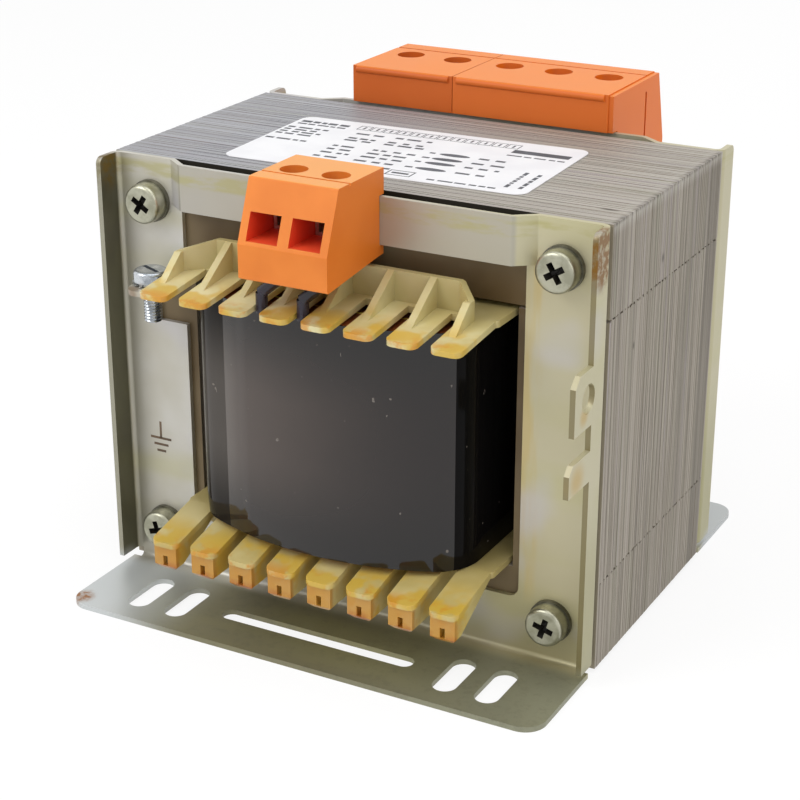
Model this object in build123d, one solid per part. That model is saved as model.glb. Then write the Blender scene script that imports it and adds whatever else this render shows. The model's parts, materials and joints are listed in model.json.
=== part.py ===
from build123d import *
import math
import os
from dataclasses import dataclass

# Laminated chassis transformer, in millimetres.
# X runs across the core, -Y is the front, +Z is up, and the feet stand on z = 0.
# The origin is the middle of the pattern of slots in the two feet.

# Core: sheets of E and I shape, in packets that are turned over in turn
leg_width = 20.0
centre_leg_width = 40.0
window_width = 20.0
window_height = 60.0
sheet_thickness = 0.5
sheets_per_packet = 18
packet_count = 7
core_underside = 1.2
seam_gap = 0.06
bolt_hole_diameter = 5.6

core_width = centre_leg_width + 2 * window_width + 2 * leg_width
core_height = window_height + 2 * leg_width
packet_thickness = sheet_thickness * sheets_per_packet
stack_depth = packet_thickness * packet_count
core_top = core_underside + core_height
core_front = -stack_depth / 2
bolt_x = core_width / 2 - leg_width / 2
bolt_low = core_underside + leg_width / 2
bolt_high = core_top - leg_width / 2

# Pressed end frame, drawn as the front one; the rear one is the same pressing turned round
frame_sheet = 1.2
bend_radius = 1.2
flange_reach = 6.4
flange_foot_gap = 3.2
flange_corner_radius = 1.6
foot_reach = 29.0
foot_side_inset = 0.5
foot_corner_radius = 5.0
frame_window_margin = 2.0
frame_sill_drop = 6.6
frame_window_radius = 2.5
bar_height = 10.4
bar_forward = 3.4
bar_slope_run = 4.5
bar_slope_start = 2.0
bar_end_land = 0.9
bar_bend_radius = 0.7
fold_fill_share = 0.98

frame_front = core_front - frame_sheet
bar_front = frame_front - bar_forward
bar_bottom = core_top - bar_height
foot_front = core_front - foot_reach
frame_window_half = core_width / 2 - leg_width + frame_window_margin
frame_sill = core_underside + leg_width - frame_sill_drop

# Slots in the foot
slot_width = 5.5
slot_length = 14.5
slot_inner_x = 34.5
slot_pitch = 10.0
slot_from_core = 16.7
long_slot_width = 4.4
long_slot_length = 49.0

# Earth tab, lanced out of the plate beside the window
earth_tab_width = 6.5
earth_tab_side_gap = 0.5
earth_tab_reach = 14.0
earth_tab_top = 74.6
earth_notch_bottom = 63.0
earth_screw_from_tip = 6.4
tab_end_share = 0.49

# Hooks on the flange's edge
hook_upper_low = 61.4
hook_upper_height = 12.6
hook_upper_reach = 8.6
hook_upper_chamfer = 2.2
hook_hole_diameter = 6.4
hook_hole_reach = 2.0
hook_lower_low = 48.8
hook_lower_height = 6.8
hook_lower_reach = 10.4
hook_lower_chamfer = 1.8

# Core screws, washers and nuts
bolt_diameter = 5.0
bolt_head_diameter = 9.0
bolt_head_height = 3.6
bolt_end_length = 2.5
bolt_recess_width = 1.3
bolt_recess_length = 5.2
bolt_recess_depth = 1.8
washer_diameter = 9.7
washer_thickness = 1.0
washer_bore = 5.3
nut_across_flats = 8.0
nut_height = 4.0
thread_clearance = 0.05

# Earth screw
earth_screw_diameter = 4.0
earth_head_diameter = 7.8
earth_head_height = 2.6
earth_shank_length = 8.8
earth_slot_width = 1.0
earth_slot_depth = 1.2
earth_washer_diameter = 8.6
earth_washer_thickness = 0.8

# Bobbin
tube_clearance = 0.3
tube_wall = 1.4
bobbin_flange = 1.5
bobbin_clearance = 0.2
bobbin_side_gap = 1.0
bobbin_flange_overhang = 8.0
bobbin_top_drop = 1.3
finger_count = 8
finger_pitch = 10.0
finger_width = 7.0
finger_reach = 24.2
finger_sheet = 1.2
finger_root = 1.6
finger_tip_radius = 1.8
finger_tip_drop_upper = 1.7
finger_tip_drop_lower = 3.3
comb_wall = 1.5
comb_wall_height = 6.6
comb_wing_run = 4.9
comb_wing_reach = 5.1
comb_wing_height = 4.2
gusset_thickness = 1.6
gusset_offset = 1.3
gusset_tip_gap = 6.4
rib_width = 5.8
rib_height = 5.8
rib_wall_height = 7.0
rib_wall_half = 29.5
rib_wall_end_slope = 9.0
rib_setback = 0.6
rib_chamfer = 1.1
rib_corner = 1.0
rib_notch_width = 1.2
rib_notch_height = 2.4
rib_notch_depth = 2.0

bobbin_half_width = core_width / 2 - leg_width - bobbin_side_gap
bobbin_half_depth = stack_depth / 2 + bobbin_flange_overhang
bobbin_low = core_underside + leg_width + bobbin_clearance
bobbin_high = core_top - leg_width - bobbin_top_drop
tube_half_x = centre_leg_width / 2 + tube_clearance + tube_wall
tube_half_y = stack_depth / 2 + tube_clearance + tube_wall

# Windings: each layer is given by its build, outwards from the tube on the core's sides
winding_low_gap = 0.1
winding_top_gap = 1.2
tube_gap = 0.1
primary_build = 5.8
insulation_build = 0.5
secondary_build = 5.6
wrap_build = 0.5
full_build = primary_build + insulation_build + secondary_build + wrap_build
front_bulge_share = 0.44
front_bow_share = 0.70
corner_share = 0.85
tube_corner_radius = 1.0

winding_low = bobbin_low + bobbin_flange + winding_low_gap
winding_high = bobbin_high - bobbin_flange - winding_top_gap

# Terminal housings and leads
housing_clearance = 0.2
housing_side_gap = 0.2
lead_diameter = 2.6
lead_seat_depth = 2.0
lead_clearance = 0.1
lead_comb_gap = 0.3
lead_low_bend_share = 0.25
lead_high_bend_share = 0.75

# Larger housings at the rear: a bead on the inner lip, and an end plate with a groove down it
bead_diameter = 1.8
bead_proud = 0.6
bead_end_gap = 1.0
end_plate_thickness = 1.2
end_plate_inset = 0.3
end_groove_from_back = 17.2
end_groove_width = 0.9
end_groove_depth = 0.5
end_groove_below_top = 3.3

# Label on the core's top
label_length = 72.5
label_width = 39.4
label_thickness = 0.15
label_corner_radius = 3.0
label_x = -1.0
label_y = -3.6
label_turn_degrees = 2.0

# Every cut runs past the face by this much, and an edge is matched to its place within the slack
overrun = 1.0
match_slack = 0.05


@dataclass
class TerminalSize:
    """One size of screw terminal; lengths run from the housing's back, which faces the frame's bar."""

    poles: int
    centre_x: float
    pitch: float
    end_wall: float
    top_above_core: float
    top_depth: float
    back_lip: float
    front_slope: float
    ledge_below_top: float
    front_below_top: float
    back_below_bar: float
    hook_thickness: float
    hook_reach: float
    edge_radius: float
    groove_from_front: float
    groove_width: float
    groove_depth: float
    entry_width: float
    entry_height: float
    entry_above_ledge: float
    entry_back_wall: float
    screw_hole_diameter: float
    screw_from_back: float
    clamp_wall: float
    clamp_depth: float
    clamp_clearance: float
    screw_diameter: float
    screw_head_diameter: float
    screw_head_height: float
    screw_head_below_top: float
    screw_slot_width: float
    screw_slot_depth: float

    @property
    def width(self):
        return self.poles * self.pitch + 2 * self.end_wall

    @property
    def back(self):
        return bar_front - housing_clearance

    @property
    def top(self):
        return core_top + self.top_above_core

    @property
    def ledge(self):
        return self.top - self.ledge_below_top

    @property
    def front_bottom(self):
        return self.top - self.front_below_top

    @property
    def back_bottom(self):
        return bar_bottom - self.back_below_bar

    @property
    def top_front(self):
        return self.back - self.top_depth

    @property
    def front(self):
        return self.top_front - self.front_slope

    @property
    def entry_low(self):
        return self.ledge + self.entry_above_ledge

    @property
    def screw_y(self):
        return self.back - self.screw_from_back

    @property
    def pole_places(self):
        first = self.centre_x - (self.poles - 1) * self.pitch / 2
        return [first + index * self.pitch for index in range(self.poles)]

    def underside_at(self, y):
        """The height of the sloping underside at a place between the back and the front."""
        along = (self.back - y) / (self.back - self.front)
        return self.back_bottom + along * (self.front_bottom - self.back_bottom)


front_terminal = TerminalSize(
    poles=2, centre_x=-0.5, pitch=10.0, end_wall=0.5, top_above_core=5.8, top_depth=16.5, back_lip=1.9,
    front_slope=5.1, ledge_below_top=13.1, front_below_top=20.6, back_below_bar=2.3, hook_thickness=1.9,
    hook_reach=1.7, edge_radius=0.5, groove_from_front=4.2, groove_width=0.6, groove_depth=0.4,
    entry_width=7.4, entry_height=5.8, entry_above_ledge=0.7, entry_back_wall=2.4, screw_hole_diameter=6.0,
    screw_from_back=8.0, clamp_wall=0.8, clamp_depth=5.6, clamp_clearance=0.25, screw_diameter=3.0,
    screw_head_diameter=5.2, screw_head_height=1.9, screw_head_below_top=2.2, screw_slot_width=0.8,
    screw_slot_depth=0.9)

rear_terminal_shape = dict(
    pitch=13.0, end_wall=0.5, top_above_core=9.1, top_depth=25.6, back_lip=2.9, front_slope=4.8,
    ledge_below_top=17.0, front_below_top=25.8, back_below_bar=2.4, hook_thickness=2.0, hook_reach=1.7,
    edge_radius=0.5, groove_from_front=5.0, groove_width=0.6, groove_depth=0.4, entry_width=9.6,
    entry_height=8.0, entry_above_ledge=0.8, entry_back_wall=4.0, screw_hole_diameter=6.8,
    screw_from_back=14.0, clamp_wall=1.0, clamp_depth=8.0, clamp_clearance=0.3, screw_diameter=4.0,
    screw_head_diameter=6.2, screw_head_height=2.4, screw_head_below_top=3.0, screw_slot_width=1.0,
    screw_slot_depth=1.1)
rear_group_centre_x = 2.2
rear_left_poles = 2
rear_right_poles = 3


def rear_terminals():
    """The two rear sizes side by side, in the turned frame in which the rear is drawn as a front."""
    left = TerminalSize(poles=rear_left_poles, centre_x=0.0, **rear_terminal_shape)
    right = TerminalSize(poles=rear_right_poles, centre_x=0.0, **rear_terminal_shape)
    total = left.width + housing_side_gap + right.width
    left.centre_x = rear_group_centre_x + total / 2 - left.width / 2
    right.centre_x = rear_group_centre_x - total / 2 + right.width / 2
    return left, right


def block(x_range, y_range, z_range):
    """A box between two planes on each axis."""
    ranges = (x_range, y_range, z_range)
    size = [high - low for low, high in ranges]
    centre = [(high + low) / 2 for low, high in ranges]
    return Pos(*centre) * Box(*size)


def prism_x(points, x_low, x_high):
    """An outline of (y, z) points, extruded along X."""
    face = make_face(Polyline([(0, y, z) for y, z in points], close=True))
    return Pos(x_low, 0, 0) * extrude(face, amount=x_high - x_low, dir=(1, 0, 0))


def prism_y(points, y_low, y_high):
    """An outline of (x, z) points, extruded along Y."""
    face = make_face(Polyline([(x, 0, z) for x, z in points], close=True))
    return Pos(0, y_low, 0) * extrude(face, amount=y_high - y_low, dir=(0, 1, 0))


def prism_z(points, z_low, z_high):
    """An outline of (x, y) points, extruded along Z."""
    face = make_face(Polyline([(x, y, 0) for x, y in points], close=True))
    return Pos(0, 0, z_low) * extrude(face, amount=z_high - z_low, dir=(0, 0, 1))


def rod_y(x, z, diameter, y_low, y_high):
    """A round rod along Y."""
    return Pos(x, (y_low + y_high) / 2, z) * Rot(90, 0, 0) * Cylinder(diameter / 2, y_high - y_low)


def rod_z(x, y, diameter, z_low, z_high):
    """A round rod along Z."""
    return Pos(x, y, (z_low + z_high) / 2) * Cylinder(diameter / 2, z_high - z_low)


def edges_near(shape, axis, places, first, second):
    """The edges along an axis whose two other coordinates match one of the places."""
    found = []
    for edge in shape.edges().filter_by(axis):
        middle = edge.center()
        here = (getattr(middle, first), getattr(middle, second))
        if any(abs(here[0] - u) < match_slack and abs(here[1] - v) < match_slack for u, v in places):
            found.append(edge)
    return found


def turned(shape):
    """The same shape turned half a turn about the upright axis, from the front to the rear."""
    return Rot(0, 0, 180) * shape


# Core

def bolt_holes(places, y_low, y_high, diameter):
    """Rods for the holes of the core screws."""
    return [rod_y(x, z, diameter, y_low - overrun, y_high + overrun) for x, z in places]


def e_outline():
    """An E sheet with its yoke at the bottom."""
    half = core_width / 2
    leg_top = core_top - leg_width - seam_gap / 2
    sill = core_underside + leg_width
    inner = half - leg_width
    centre = centre_leg_width / 2
    return [(-half, core_underside), (half, core_underside), (half, leg_top), (inner, leg_top),
            (inner, sill), (centre, sill), (centre, leg_top), (-centre, leg_top),
            (-centre, sill), (-inner, sill), (-inner, leg_top), (-half, leg_top)]


def i_outline():
    """An I sheet across the top of the legs."""
    half = core_width / 2
    low = core_top - leg_width + seam_gap / 2
    return [(-half, low), (half, low), (half, core_top), (-half, core_top)]


def upside_down(points):
    """An outline turned over about the core's middle height."""
    return [(x, core_underside + core_top - z) for x, z in points]


def packets(outline, bolt_height, first_packet):
    """Every second packet of one sheet shape."""
    made = []
    places = [(-bolt_x, bolt_height), (bolt_x, bolt_height)]
    for index in range(first_packet, packet_count, 2):
        low = core_front + index * packet_thickness
        high = low + packet_thickness
        made.append(prism_y(outline, low, high) - bolt_holes(places, low, high, bolt_hole_diameter))
    return Compound(children=made)


def e_laminations_up():
    return packets(e_outline(), bolt_low, 0)


def i_laminations_top():
    return packets(i_outline(), bolt_high, 0)


def e_laminations_down():
    return packets(upside_down(e_outline()), bolt_high, 1)


def i_laminations_bottom():
    return packets(upside_down(i_outline()), bolt_low, 1)


# End frames

def frame_channel():
    """The plate with its two side flanges, as a folded channel."""
    half = core_width / 2
    edge = frame_front - flange_reach
    inner = half - frame_sheet
    points = [(-half, core_front), (half, core_front), (half, edge), (inner, edge),
              (inner, frame_front), (-inner, frame_front), (-inner, edge), (-half, edge)]
    channel = prism_z(points, flange_foot_gap, core_top)
    inside = edges_near(channel, Axis.Z, [(-inner, frame_front), (inner, frame_front)], "X", "Y")
    channel = fillet(inside, bend_radius)
    outside = edges_near(channel, Axis.Z, [(-half, core_front), (half, core_front)], "X", "Y")
    channel = fillet(outside, bend_radius + frame_sheet)
    corners = edges_near(channel, Axis.X, [(edge, core_top)], "Y", "Z")
    return fillet(corners, flange_corner_radius)


def frame_foot():
    """The lower edge of the plate, folded forwards into the foot."""
    leg_half = core_width / 2 - frame_sheet - bend_radius
    points = [(core_front, flange_foot_gap), (core_front, 0), (foot_front, 0), (foot_front, frame_sheet),
              (frame_front, frame_sheet), (frame_front, flange_foot_gap)]
    fold = prism_x(points, -leg_half, leg_half)
    fold = fillet(edges_near(fold, Axis.X, [(frame_front, frame_sheet)], "Y", "Z"), bend_radius)
    fold = fillet(edges_near(fold, Axis.X, [(core_front, 0)], "Y", "Z"), bend_radius + frame_sheet)
    half = core_width / 2 - foot_side_inset
    flat = block((-half, half), (foot_front, frame_front - bend_radius), (0, frame_sheet))
    foot = fold + flat
    return fillet(edges_near(foot, Axis.Z, [(-half, foot_front), (half, foot_front)], "X", "Y"),
                  foot_corner_radius)


def foot_slots():
    """The slots through the foot: two short ones on each side and a long one between them."""
    y = core_front - slot_from_core
    cuts = []
    for side in (-1, 1):
        for index in range(2):
            outline = Rot(0, 0, 90) * SlotOverall(slot_length, slot_width)
            place = Pos(side * (slot_inner_x + index * slot_pitch), y, -overrun)
            cuts.append(place * extrude(outline, amount=frame_sheet + 2 * overrun))
    long_outline = SlotOverall(long_slot_length, long_slot_width)
    cuts.append(Pos(0, y, -overrun) * extrude(long_outline, amount=frame_sheet + 2 * overrun))
    return cuts


def window_cut():
    """The window in the plate, open at the top where the bar is set forward."""
    half = frame_window_half
    tool = block((-half, half), (frame_front - overrun, core_front + overrun), (frame_sill, bar_bottom))
    corners = edges_near(tool, Axis.Y, [(-half, frame_sill), (half, frame_sill)], "X", "Z")
    tool = fillet(corners, frame_window_radius)
    reach = bar_end()
    return [tool, block((-reach, reach), (frame_front - overrun, core_front + overrun),
                        (bar_bottom, core_top + overrun))]


def bar_end():
    """How far from the middle the joggled part of the bar ends."""
    return frame_window_half + bar_slope_start + bar_end_land


def frame_bar():
    """The bar over the window, joggled forwards to make room for the terminal hooks."""
    slope = math.atan2(bar_forward, bar_slope_run)
    shift = frame_sheet * math.tan(slope / 2)
    end = bar_end()
    outer = frame_window_half + bar_slope_start
    inner = outer - bar_slope_run
    rear = [(end, core_front), (outer, core_front), (inner, core_front - bar_forward)]
    front = [(end, frame_front), (outer + shift, frame_front), (inner + shift, bar_front)]
    points = [(-x, y) for x, y in rear] + rear[::-1] + front + [(-x, y) for x, y in front[::-1]]
    bar = prism_z(points, bar_bottom, core_top)
    bends = [point for x, y in rear[1:] + front[1:] for point in ((x, y), (-x, y))]
    return fillet(edges_near(bar, Axis.Z, bends, "X", "Y"), bar_bend_radius)


def earth_tab_left():
    return -frame_window_half - earth_tab_side_gap - earth_tab_width - earth_tab_side_gap


def earth_screw_place():
    """The middle of the earth screw, seen from above."""
    x = earth_tab_left() + earth_tab_side_gap + earth_tab_width / 2
    return x, frame_front - earth_tab_reach + earth_screw_from_tip


def earth_notch():
    """The hole that the lanced tab leaves, from its lower edge to above the tab's fold."""
    return block((earth_tab_left(), -frame_window_half + overrun),
                 (frame_front - overrun, core_front + overrun),
                 (earth_notch_bottom, earth_tab_top + bend_radius))


def earth_tab():
    """The tab, folded forwards, with a round end and the hole for its screw."""
    left = earth_tab_left() + earth_tab_side_gap
    right = left + earth_tab_width
    tip = frame_front - earth_tab_reach
    low = earth_tab_top - frame_sheet
    stub_top = earth_tab_top + bend_radius
    points = [(core_front, stub_top), (core_front, low), (tip, low), (tip, earth_tab_top),
              (frame_front, earth_tab_top), (frame_front, stub_top)]
    tab = prism_x(points, left, right)
    inner_radius = bend_radius * fold_fill_share
    outer_radius = (bend_radius + frame_sheet) * fold_fill_share
    tab = fillet(edges_near(tab, Axis.X, [(frame_front, earth_tab_top)], "Y", "Z"), inner_radius)
    tab = fillet(edges_near(tab, Axis.X, [(core_front, low)], "Y", "Z"), outer_radius)
    end_radius = earth_tab_width * tab_end_share
    tab = fillet(edges_near(tab, Axis.Z, [(left, tip), (right, tip)], "X", "Y"), end_radius)
    x, y = earth_screw_place()
    hole = rod_z(x, y, earth_screw_diameter + 2 * thread_clearance, low - overrun, earth_tab_top + overrun)
    return tab - hole


def hooks():
    """The two hooks on the edge of the right flange; the upper one has a round hole."""
    right = core_width / 2
    left = right - frame_sheet
    edge = frame_front - flange_reach
    made = []
    for low, height, reach, chamfer_size in (
            (hook_upper_low, hook_upper_height, hook_upper_reach, hook_upper_chamfer),
            (hook_lower_low, hook_lower_height, hook_lower_reach, hook_lower_chamfer)):
        tip = edge - reach
        high = low + height
        points = [(edge, low), (tip, low), (tip, high - chamfer_size), (tip + chamfer_size, high),
                  (edge, high)]
        made.append(prism_x(points, left, right))
    return made


def hook_hole():
    edge = frame_front - flange_reach
    y = edge - hook_hole_reach
    z = hook_upper_low + hook_upper_height / 2
    right = core_width / 2
    length = frame_sheet + 2 * overrun
    return Pos(right - frame_sheet / 2, y, z) * Rot(0, 90, 0) * Cylinder(hook_hole_diameter / 2, length)


def pressed_frame():
    """The whole pressing, as the front frame."""
    frame = frame_channel() + frame_foot()
    frame = frame - window_cut() - [earth_notch()] - foot_slots()
    frame = frame + frame_bar() + earth_tab() + hooks()
    places = [(side * bolt_x, z) for side in (-1, 1) for z in (bolt_low, bolt_high)]
    frame = frame - bolt_holes(places, frame_front, core_front, bolt_hole_diameter)
    return frame - [hook_hole()]


# Fasteners

def core_bolt_places():
    return [(side * bolt_x, z) for z in (bolt_low, bolt_high) for side in (-1, 1)]


def pan_head(diameter, height):
    """A pan head standing on z = 0, with a domed top."""
    half = diameter / 2
    head = Pos(0, 0, height / 2) * Cylinder(half, height)
    return fillet(head.edges().sort_by(Axis.Z)[-1:], height / 2)


def cross_recess(length, width, depth, top):
    """The two crossing slots cut down from the top of a head."""
    low = top - depth
    return [block((-length / 2, length / 2), (-width / 2, width / 2), (low, top + overrun)),
            block((-width / 2, width / 2), (-length / 2, length / 2), (low, top + overrun))]


def core_screws():
    """Four long pan-head screws from the front frame to the nuts."""
    head = pan_head(bolt_head_diameter, bolt_head_height)
    head = head - cross_recess(bolt_recess_length, bolt_recess_width, bolt_recess_depth, bolt_head_height)
    grip = stack_depth + 2 * frame_sheet + 2 * washer_thickness + nut_height
    shank = rod_z(0, 0, bolt_diameter, -grip - bolt_end_length, 0)
    screw = Rot(90, 0, 0) * (head + shank)
    seat = frame_front - washer_thickness
    return Compound(children=[Pos(x, seat, z) * screw for x, z in core_bolt_places()])


def ring(outer, inner, height):
    """A flat washer standing on z = 0."""
    washer = Pos(0, 0, height / 2) * Cylinder(outer / 2, height)
    return washer - Pos(0, 0, height / 2) * Cylinder(inner / 2, height + 2 * overrun)


def front_washers():
    washer = Rot(90, 0, 0) * ring(washer_diameter, washer_bore, washer_thickness)
    return Compound(children=[Pos(x, frame_front, z) * washer for x, z in core_bolt_places()])


def rear_washers():
    washer = Rot(-90, 0, 0) * ring(washer_diameter, washer_bore, washer_thickness)
    return Compound(children=[Pos(x, -frame_front, z) * washer for x, z in core_bolt_places()])


def core_nuts():
    """Hexagon nuts behind the rear washers."""
    outline = RegularPolygon(nut_across_flats / 2, 6, major_radius=False)
    nut = extrude(outline, amount=nut_height)
    nut = nut - rod_z(0, 0, bolt_diameter + 2 * thread_clearance, -overrun, nut_height + overrun)
    nut = Rot(-90, 0, 0) * nut
    seat = -frame_front + washer_thickness
    return Compound(children=[Pos(x, seat, z) * nut for x, z in core_bolt_places()])


def earth_screw():
    """A slotted pan-head screw, upright in the earth tab."""
    head = pan_head(earth_head_diameter, earth_head_height)
    half = earth_head_diameter / 2 + overrun
    slot = block((-half, half), (-earth_slot_width / 2, earth_slot_width / 2),
                 (earth_head_height - earth_slot_depth, earth_head_height + overrun))
    shank = rod_z(0, 0, earth_screw_diameter, -earth_shank_length - earth_washer_thickness, 0)
    x, y = earth_screw_place()
    return Pos(x, y, earth_tab_top + earth_washer_thickness) * (head - slot + shank)


def earth_washer():
    x, y = earth_screw_place()
    bore = earth_screw_diameter + 2 * thread_clearance
    return Pos(x, y, earth_tab_top) * ring(earth_washer_diameter, bore, earth_washer_thickness)


# Bobbin and windings

def finger_left_edges():
    first = -(finger_count - 1) * finger_pitch / 2 - finger_width / 2
    return [first + index * finger_pitch for index in range(finger_count)]


def finger(left, root_top, tip_drop):
    """One flat finger that droops from the flange's edge to its tip."""
    root = -bobbin_half_depth
    tip = core_front - finger_reach
    tip_top = root_top - tip_drop
    points = [(root + finger_root, root_top), (root, root_top), (tip, tip_top),
              (tip, tip_top - finger_sheet), (root, root_top - bobbin_flange),
              (root + finger_root, root_top - bobbin_flange)]
    piece = prism_x(points, left, left + finger_width)
    corners = edges_near(piece, Axis.Z, [(left, tip), (left + finger_width, tip)], "X", "Y")
    return fillet(corners, finger_tip_radius)


def comb_wall_y():
    """The front face of the upright wall behind the fingers."""
    return -bobbin_half_depth + finger_root


def gusset_starts():
    """The left faces of the gussets on the upper fingers."""
    return [left + gusset_offset for left in finger_left_edges()]


def wing_ends():
    """The wall of the upper comb ends at the outer faces of the outermost gussets."""
    starts = gusset_starts()
    return starts[0], starts[-1] + gusset_thickness


def wall_bend():
    """How far from the middle the upper wall bends into its wings."""
    return min(abs(end) for end in wing_ends()) - comb_wing_run


def along_wing(x):
    """How far out along a wing a place is, from 0 where the wall bends to 1 at its end."""
    left, right = wing_ends()
    end = right if x > 0 else -left
    return max(0.0, (abs(x) - wall_bend()) / (end - wall_bend()))


def upper_wall_front(x):
    """The front face of the upper wall, whose two ends bend forward as wings."""
    return comb_wall_y() - comb_wing_reach * along_wing(x)


def upper_wall_height(x):
    return comb_wall_height - (comb_wall_height - comb_wing_height) * along_wing(x)


def upper_wall():
    """The upright wall behind the upper fingers, with its two wings."""
    wall = comb_wall_y()
    half = wall_bend()
    front = []
    back = []
    for side, end in zip((-1, 1), wing_ends()):
        turn = math.atan2(comb_wing_reach, abs(end) - half)
        tip = wall - comb_wing_reach
        corner = half + comb_wall * math.tan(turn / 2)
        ends = [(end, tip), (side * half, wall)]
        backs = [(end, tip + comb_wall / math.cos(turn)), (side * corner, wall + comb_wall)]
        front += ends if side < 0 else ends[::-1]
        back += backs if side < 0 else backs[::-1]
    foot = bobbin_high - bobbin_flange
    top = bobbin_high + comb_wall_height
    left, right = wing_ends()
    plan = prism_z(front + back[::-1], foot, top + overrun)
    low_top = bobbin_high + comb_wing_height
    elevation = prism_y([(left - overrun, foot - overrun), (right + overrun, foot - overrun),
                         (right + overrun, low_top), (right, low_top), (half, top), (-half, top),
                         (left, low_top), (left - overrun, low_top)],
                        wall - comb_wing_reach - overrun, wall + comb_wall + overrun)
    return plan & elevation


def upper_comb():
    """Fingers at the top of the bobbin, each with a thin gusset up to the wall."""
    root_top = bobbin_high
    tip = core_front - finger_reach
    pieces = [upper_wall()]
    for left, start in zip(finger_left_edges(), gusset_starts()):
        pieces.append(finger(left, root_top, finger_tip_drop_upper))
        end = start + gusset_thickness
        inner, outer = sorted((start, end), key=abs)
        back = upper_wall_front(inner)
        front = upper_wall_front(outer)
        top = root_top + upper_wall_height(outer)
        shoulder = [(front, top)] if front < back else []
        foot = tip + gusset_tip_gap
        fall = finger_tip_drop_upper * (-bobbin_half_depth - foot) / (-bobbin_half_depth - tip)
        under = min(back, -bobbin_half_depth)
        points = [(back, top)] + shoulder + [(foot, root_top - fall), (foot, root_top - fall - finger_sheet),
                                             (under, root_top - bobbin_flange)]
        if back > under:
            points.append((back, root_top - bobbin_flange))
        pieces.append(prism_x(points, start, end))
    return pieces


def lower_wall():
    """The wall behind the lower fingers, which hangs down and has sloping ends."""
    half = rib_wall_half + rib_wall_end_slope
    low = bobbin_low - rib_wall_height
    points = [(-half, bobbin_low), (half, bobbin_low), (rib_wall_half, low), (-rib_wall_half, low)]
    y = comb_wall_y()
    return prism_y(points, y, y + comb_wall)


def lower_wall_height(x):
    """The height of the lower wall over a place along it."""
    past = max(0.0, abs(x) - rib_wall_half)
    return rib_wall_height * (1 - past / rib_wall_end_slope)


def lower_comb():
    """Fingers at the bottom of the bobbin, each with a box rib under it, narrowed at its lower edge."""
    root_top = bobbin_low + bobbin_flange
    wall = comb_wall_y()
    tip = core_front - finger_reach
    under_tip = root_top - finger_tip_drop_lower - finger_sheet
    front = tip + rib_setback
    low = under_tip - rib_height
    pieces = [lower_wall()]
    for left in finger_left_edges():
        pieces.append(finger(left, root_top, finger_tip_drop_lower))
        start = left + (finger_width - rib_width) / 2
        end = start + rib_width
        outer = max(start, end, key=abs)
        points = [(wall, bobbin_low), (wall, bobbin_low - lower_wall_height(outer)),
                  (front + rib_chamfer, low), (front, low + rib_chamfer),
                  (front, under_tip + finger_sheet / 2), (-bobbin_half_depth, bobbin_low)]
        section = prism_y([(start, bobbin_low), (start, low + rib_corner), (start + rib_corner, low),
                           (end - rib_corner, low), (end, low + rib_corner), (end, bobbin_low)],
                          front - overrun, wall + overrun)
        rib = prism_x(points, start, end) & section
        middle = (start + end) / 2
        notch = block((middle - rib_notch_width / 2, middle + rib_notch_width / 2),
                      (front - overrun, front + rib_notch_depth),
                      (low + rib_chamfer, low + rib_chamfer + rib_notch_height))
        pieces.append(rib - notch)
    return pieces


def rounded_box(half_x, half_y, z_low, z_high, radius):
    """An upright box with rounded upright edges."""
    plate = block((-half_x, half_x), (-half_y, half_y), (z_low, z_high))
    return fillet(plate.edges().filter_by(Axis.Z), radius)


def bobbin():
    """Tube, two flanges and four combs, as one moulding."""
    body = rounded_box(tube_half_x, tube_half_y, bobbin_low, bobbin_high, tube_corner_radius)
    for low in (bobbin_low, bobbin_high - bobbin_flange):
        body = body + rounded_box(bobbin_half_width, bobbin_half_depth, low, low + bobbin_flange,
                                  tube_corner_radius)
    comb = upper_comb() + lower_comb()
    body = body + comb + [turned(piece) for piece in comb]
    half_x = centre_leg_width / 2 + tube_clearance
    half_y = stack_depth / 2 + tube_clearance
    opening = block((-half_x, half_x), (-half_y, half_y), (bobbin_low - overrun, bobbin_high + overrun))
    return body - opening


def coil_body(build, z_low, z_high):
    """A closed block with the outline of the coil at some build outwards from the tube."""
    half_x = tube_half_x + tube_gap + build
    corner_y = tube_half_y + tube_gap + build * (1 + front_bulge_share - front_bow_share)
    middle_y = tube_half_y + tube_gap + build * (1 + front_bulge_share)
    left = Line((-half_x, corner_y), (-half_x, -corner_y))
    front = ThreePointArc((-half_x, -corner_y), (0, -middle_y), (half_x, -corner_y))
    right = Line((half_x, -corner_y), (half_x, corner_y))
    rear = ThreePointArc((half_x, corner_y), (0, middle_y), (-half_x, corner_y))
    outline = make_face([left, front, right, rear])
    body = Pos(0, 0, z_low) * extrude(outline, amount=z_high - z_low)
    return fillet(body.edges().filter_by(Axis.Z), tube_corner_radius + build * corner_share)


def coil_layer(inner_build, outer_build):
    """One layer of the coil, between two builds."""
    outer = coil_body(outer_build, winding_low, winding_high)
    if inner_build > 0:
        inner = coil_body(inner_build, winding_low - overrun, winding_high + overrun)
    else:
        inner = rounded_box(tube_half_x + tube_gap, tube_half_y + tube_gap, winding_low - overrun,
                            winding_high + overrun, tube_corner_radius)
    return outer - inner


def primary_winding():
    return coil_layer(0, primary_build)


def winding_insulation():
    return coil_layer(primary_build, primary_build + insulation_build)


def secondary_winding():
    return coil_layer(primary_build + insulation_build, full_build - wrap_build)


def outer_wrap():
    return coil_layer(full_build - wrap_build, full_build)


# Terminals, drawn at the front; the rear ones are turned

def lead_y():
    """The leads rise in front of the feet of the comb's gussets."""
    gusset_foot = core_front - finger_reach + gusset_tip_gap
    return gusset_foot - lead_comb_gap - lead_diameter / 2


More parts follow.
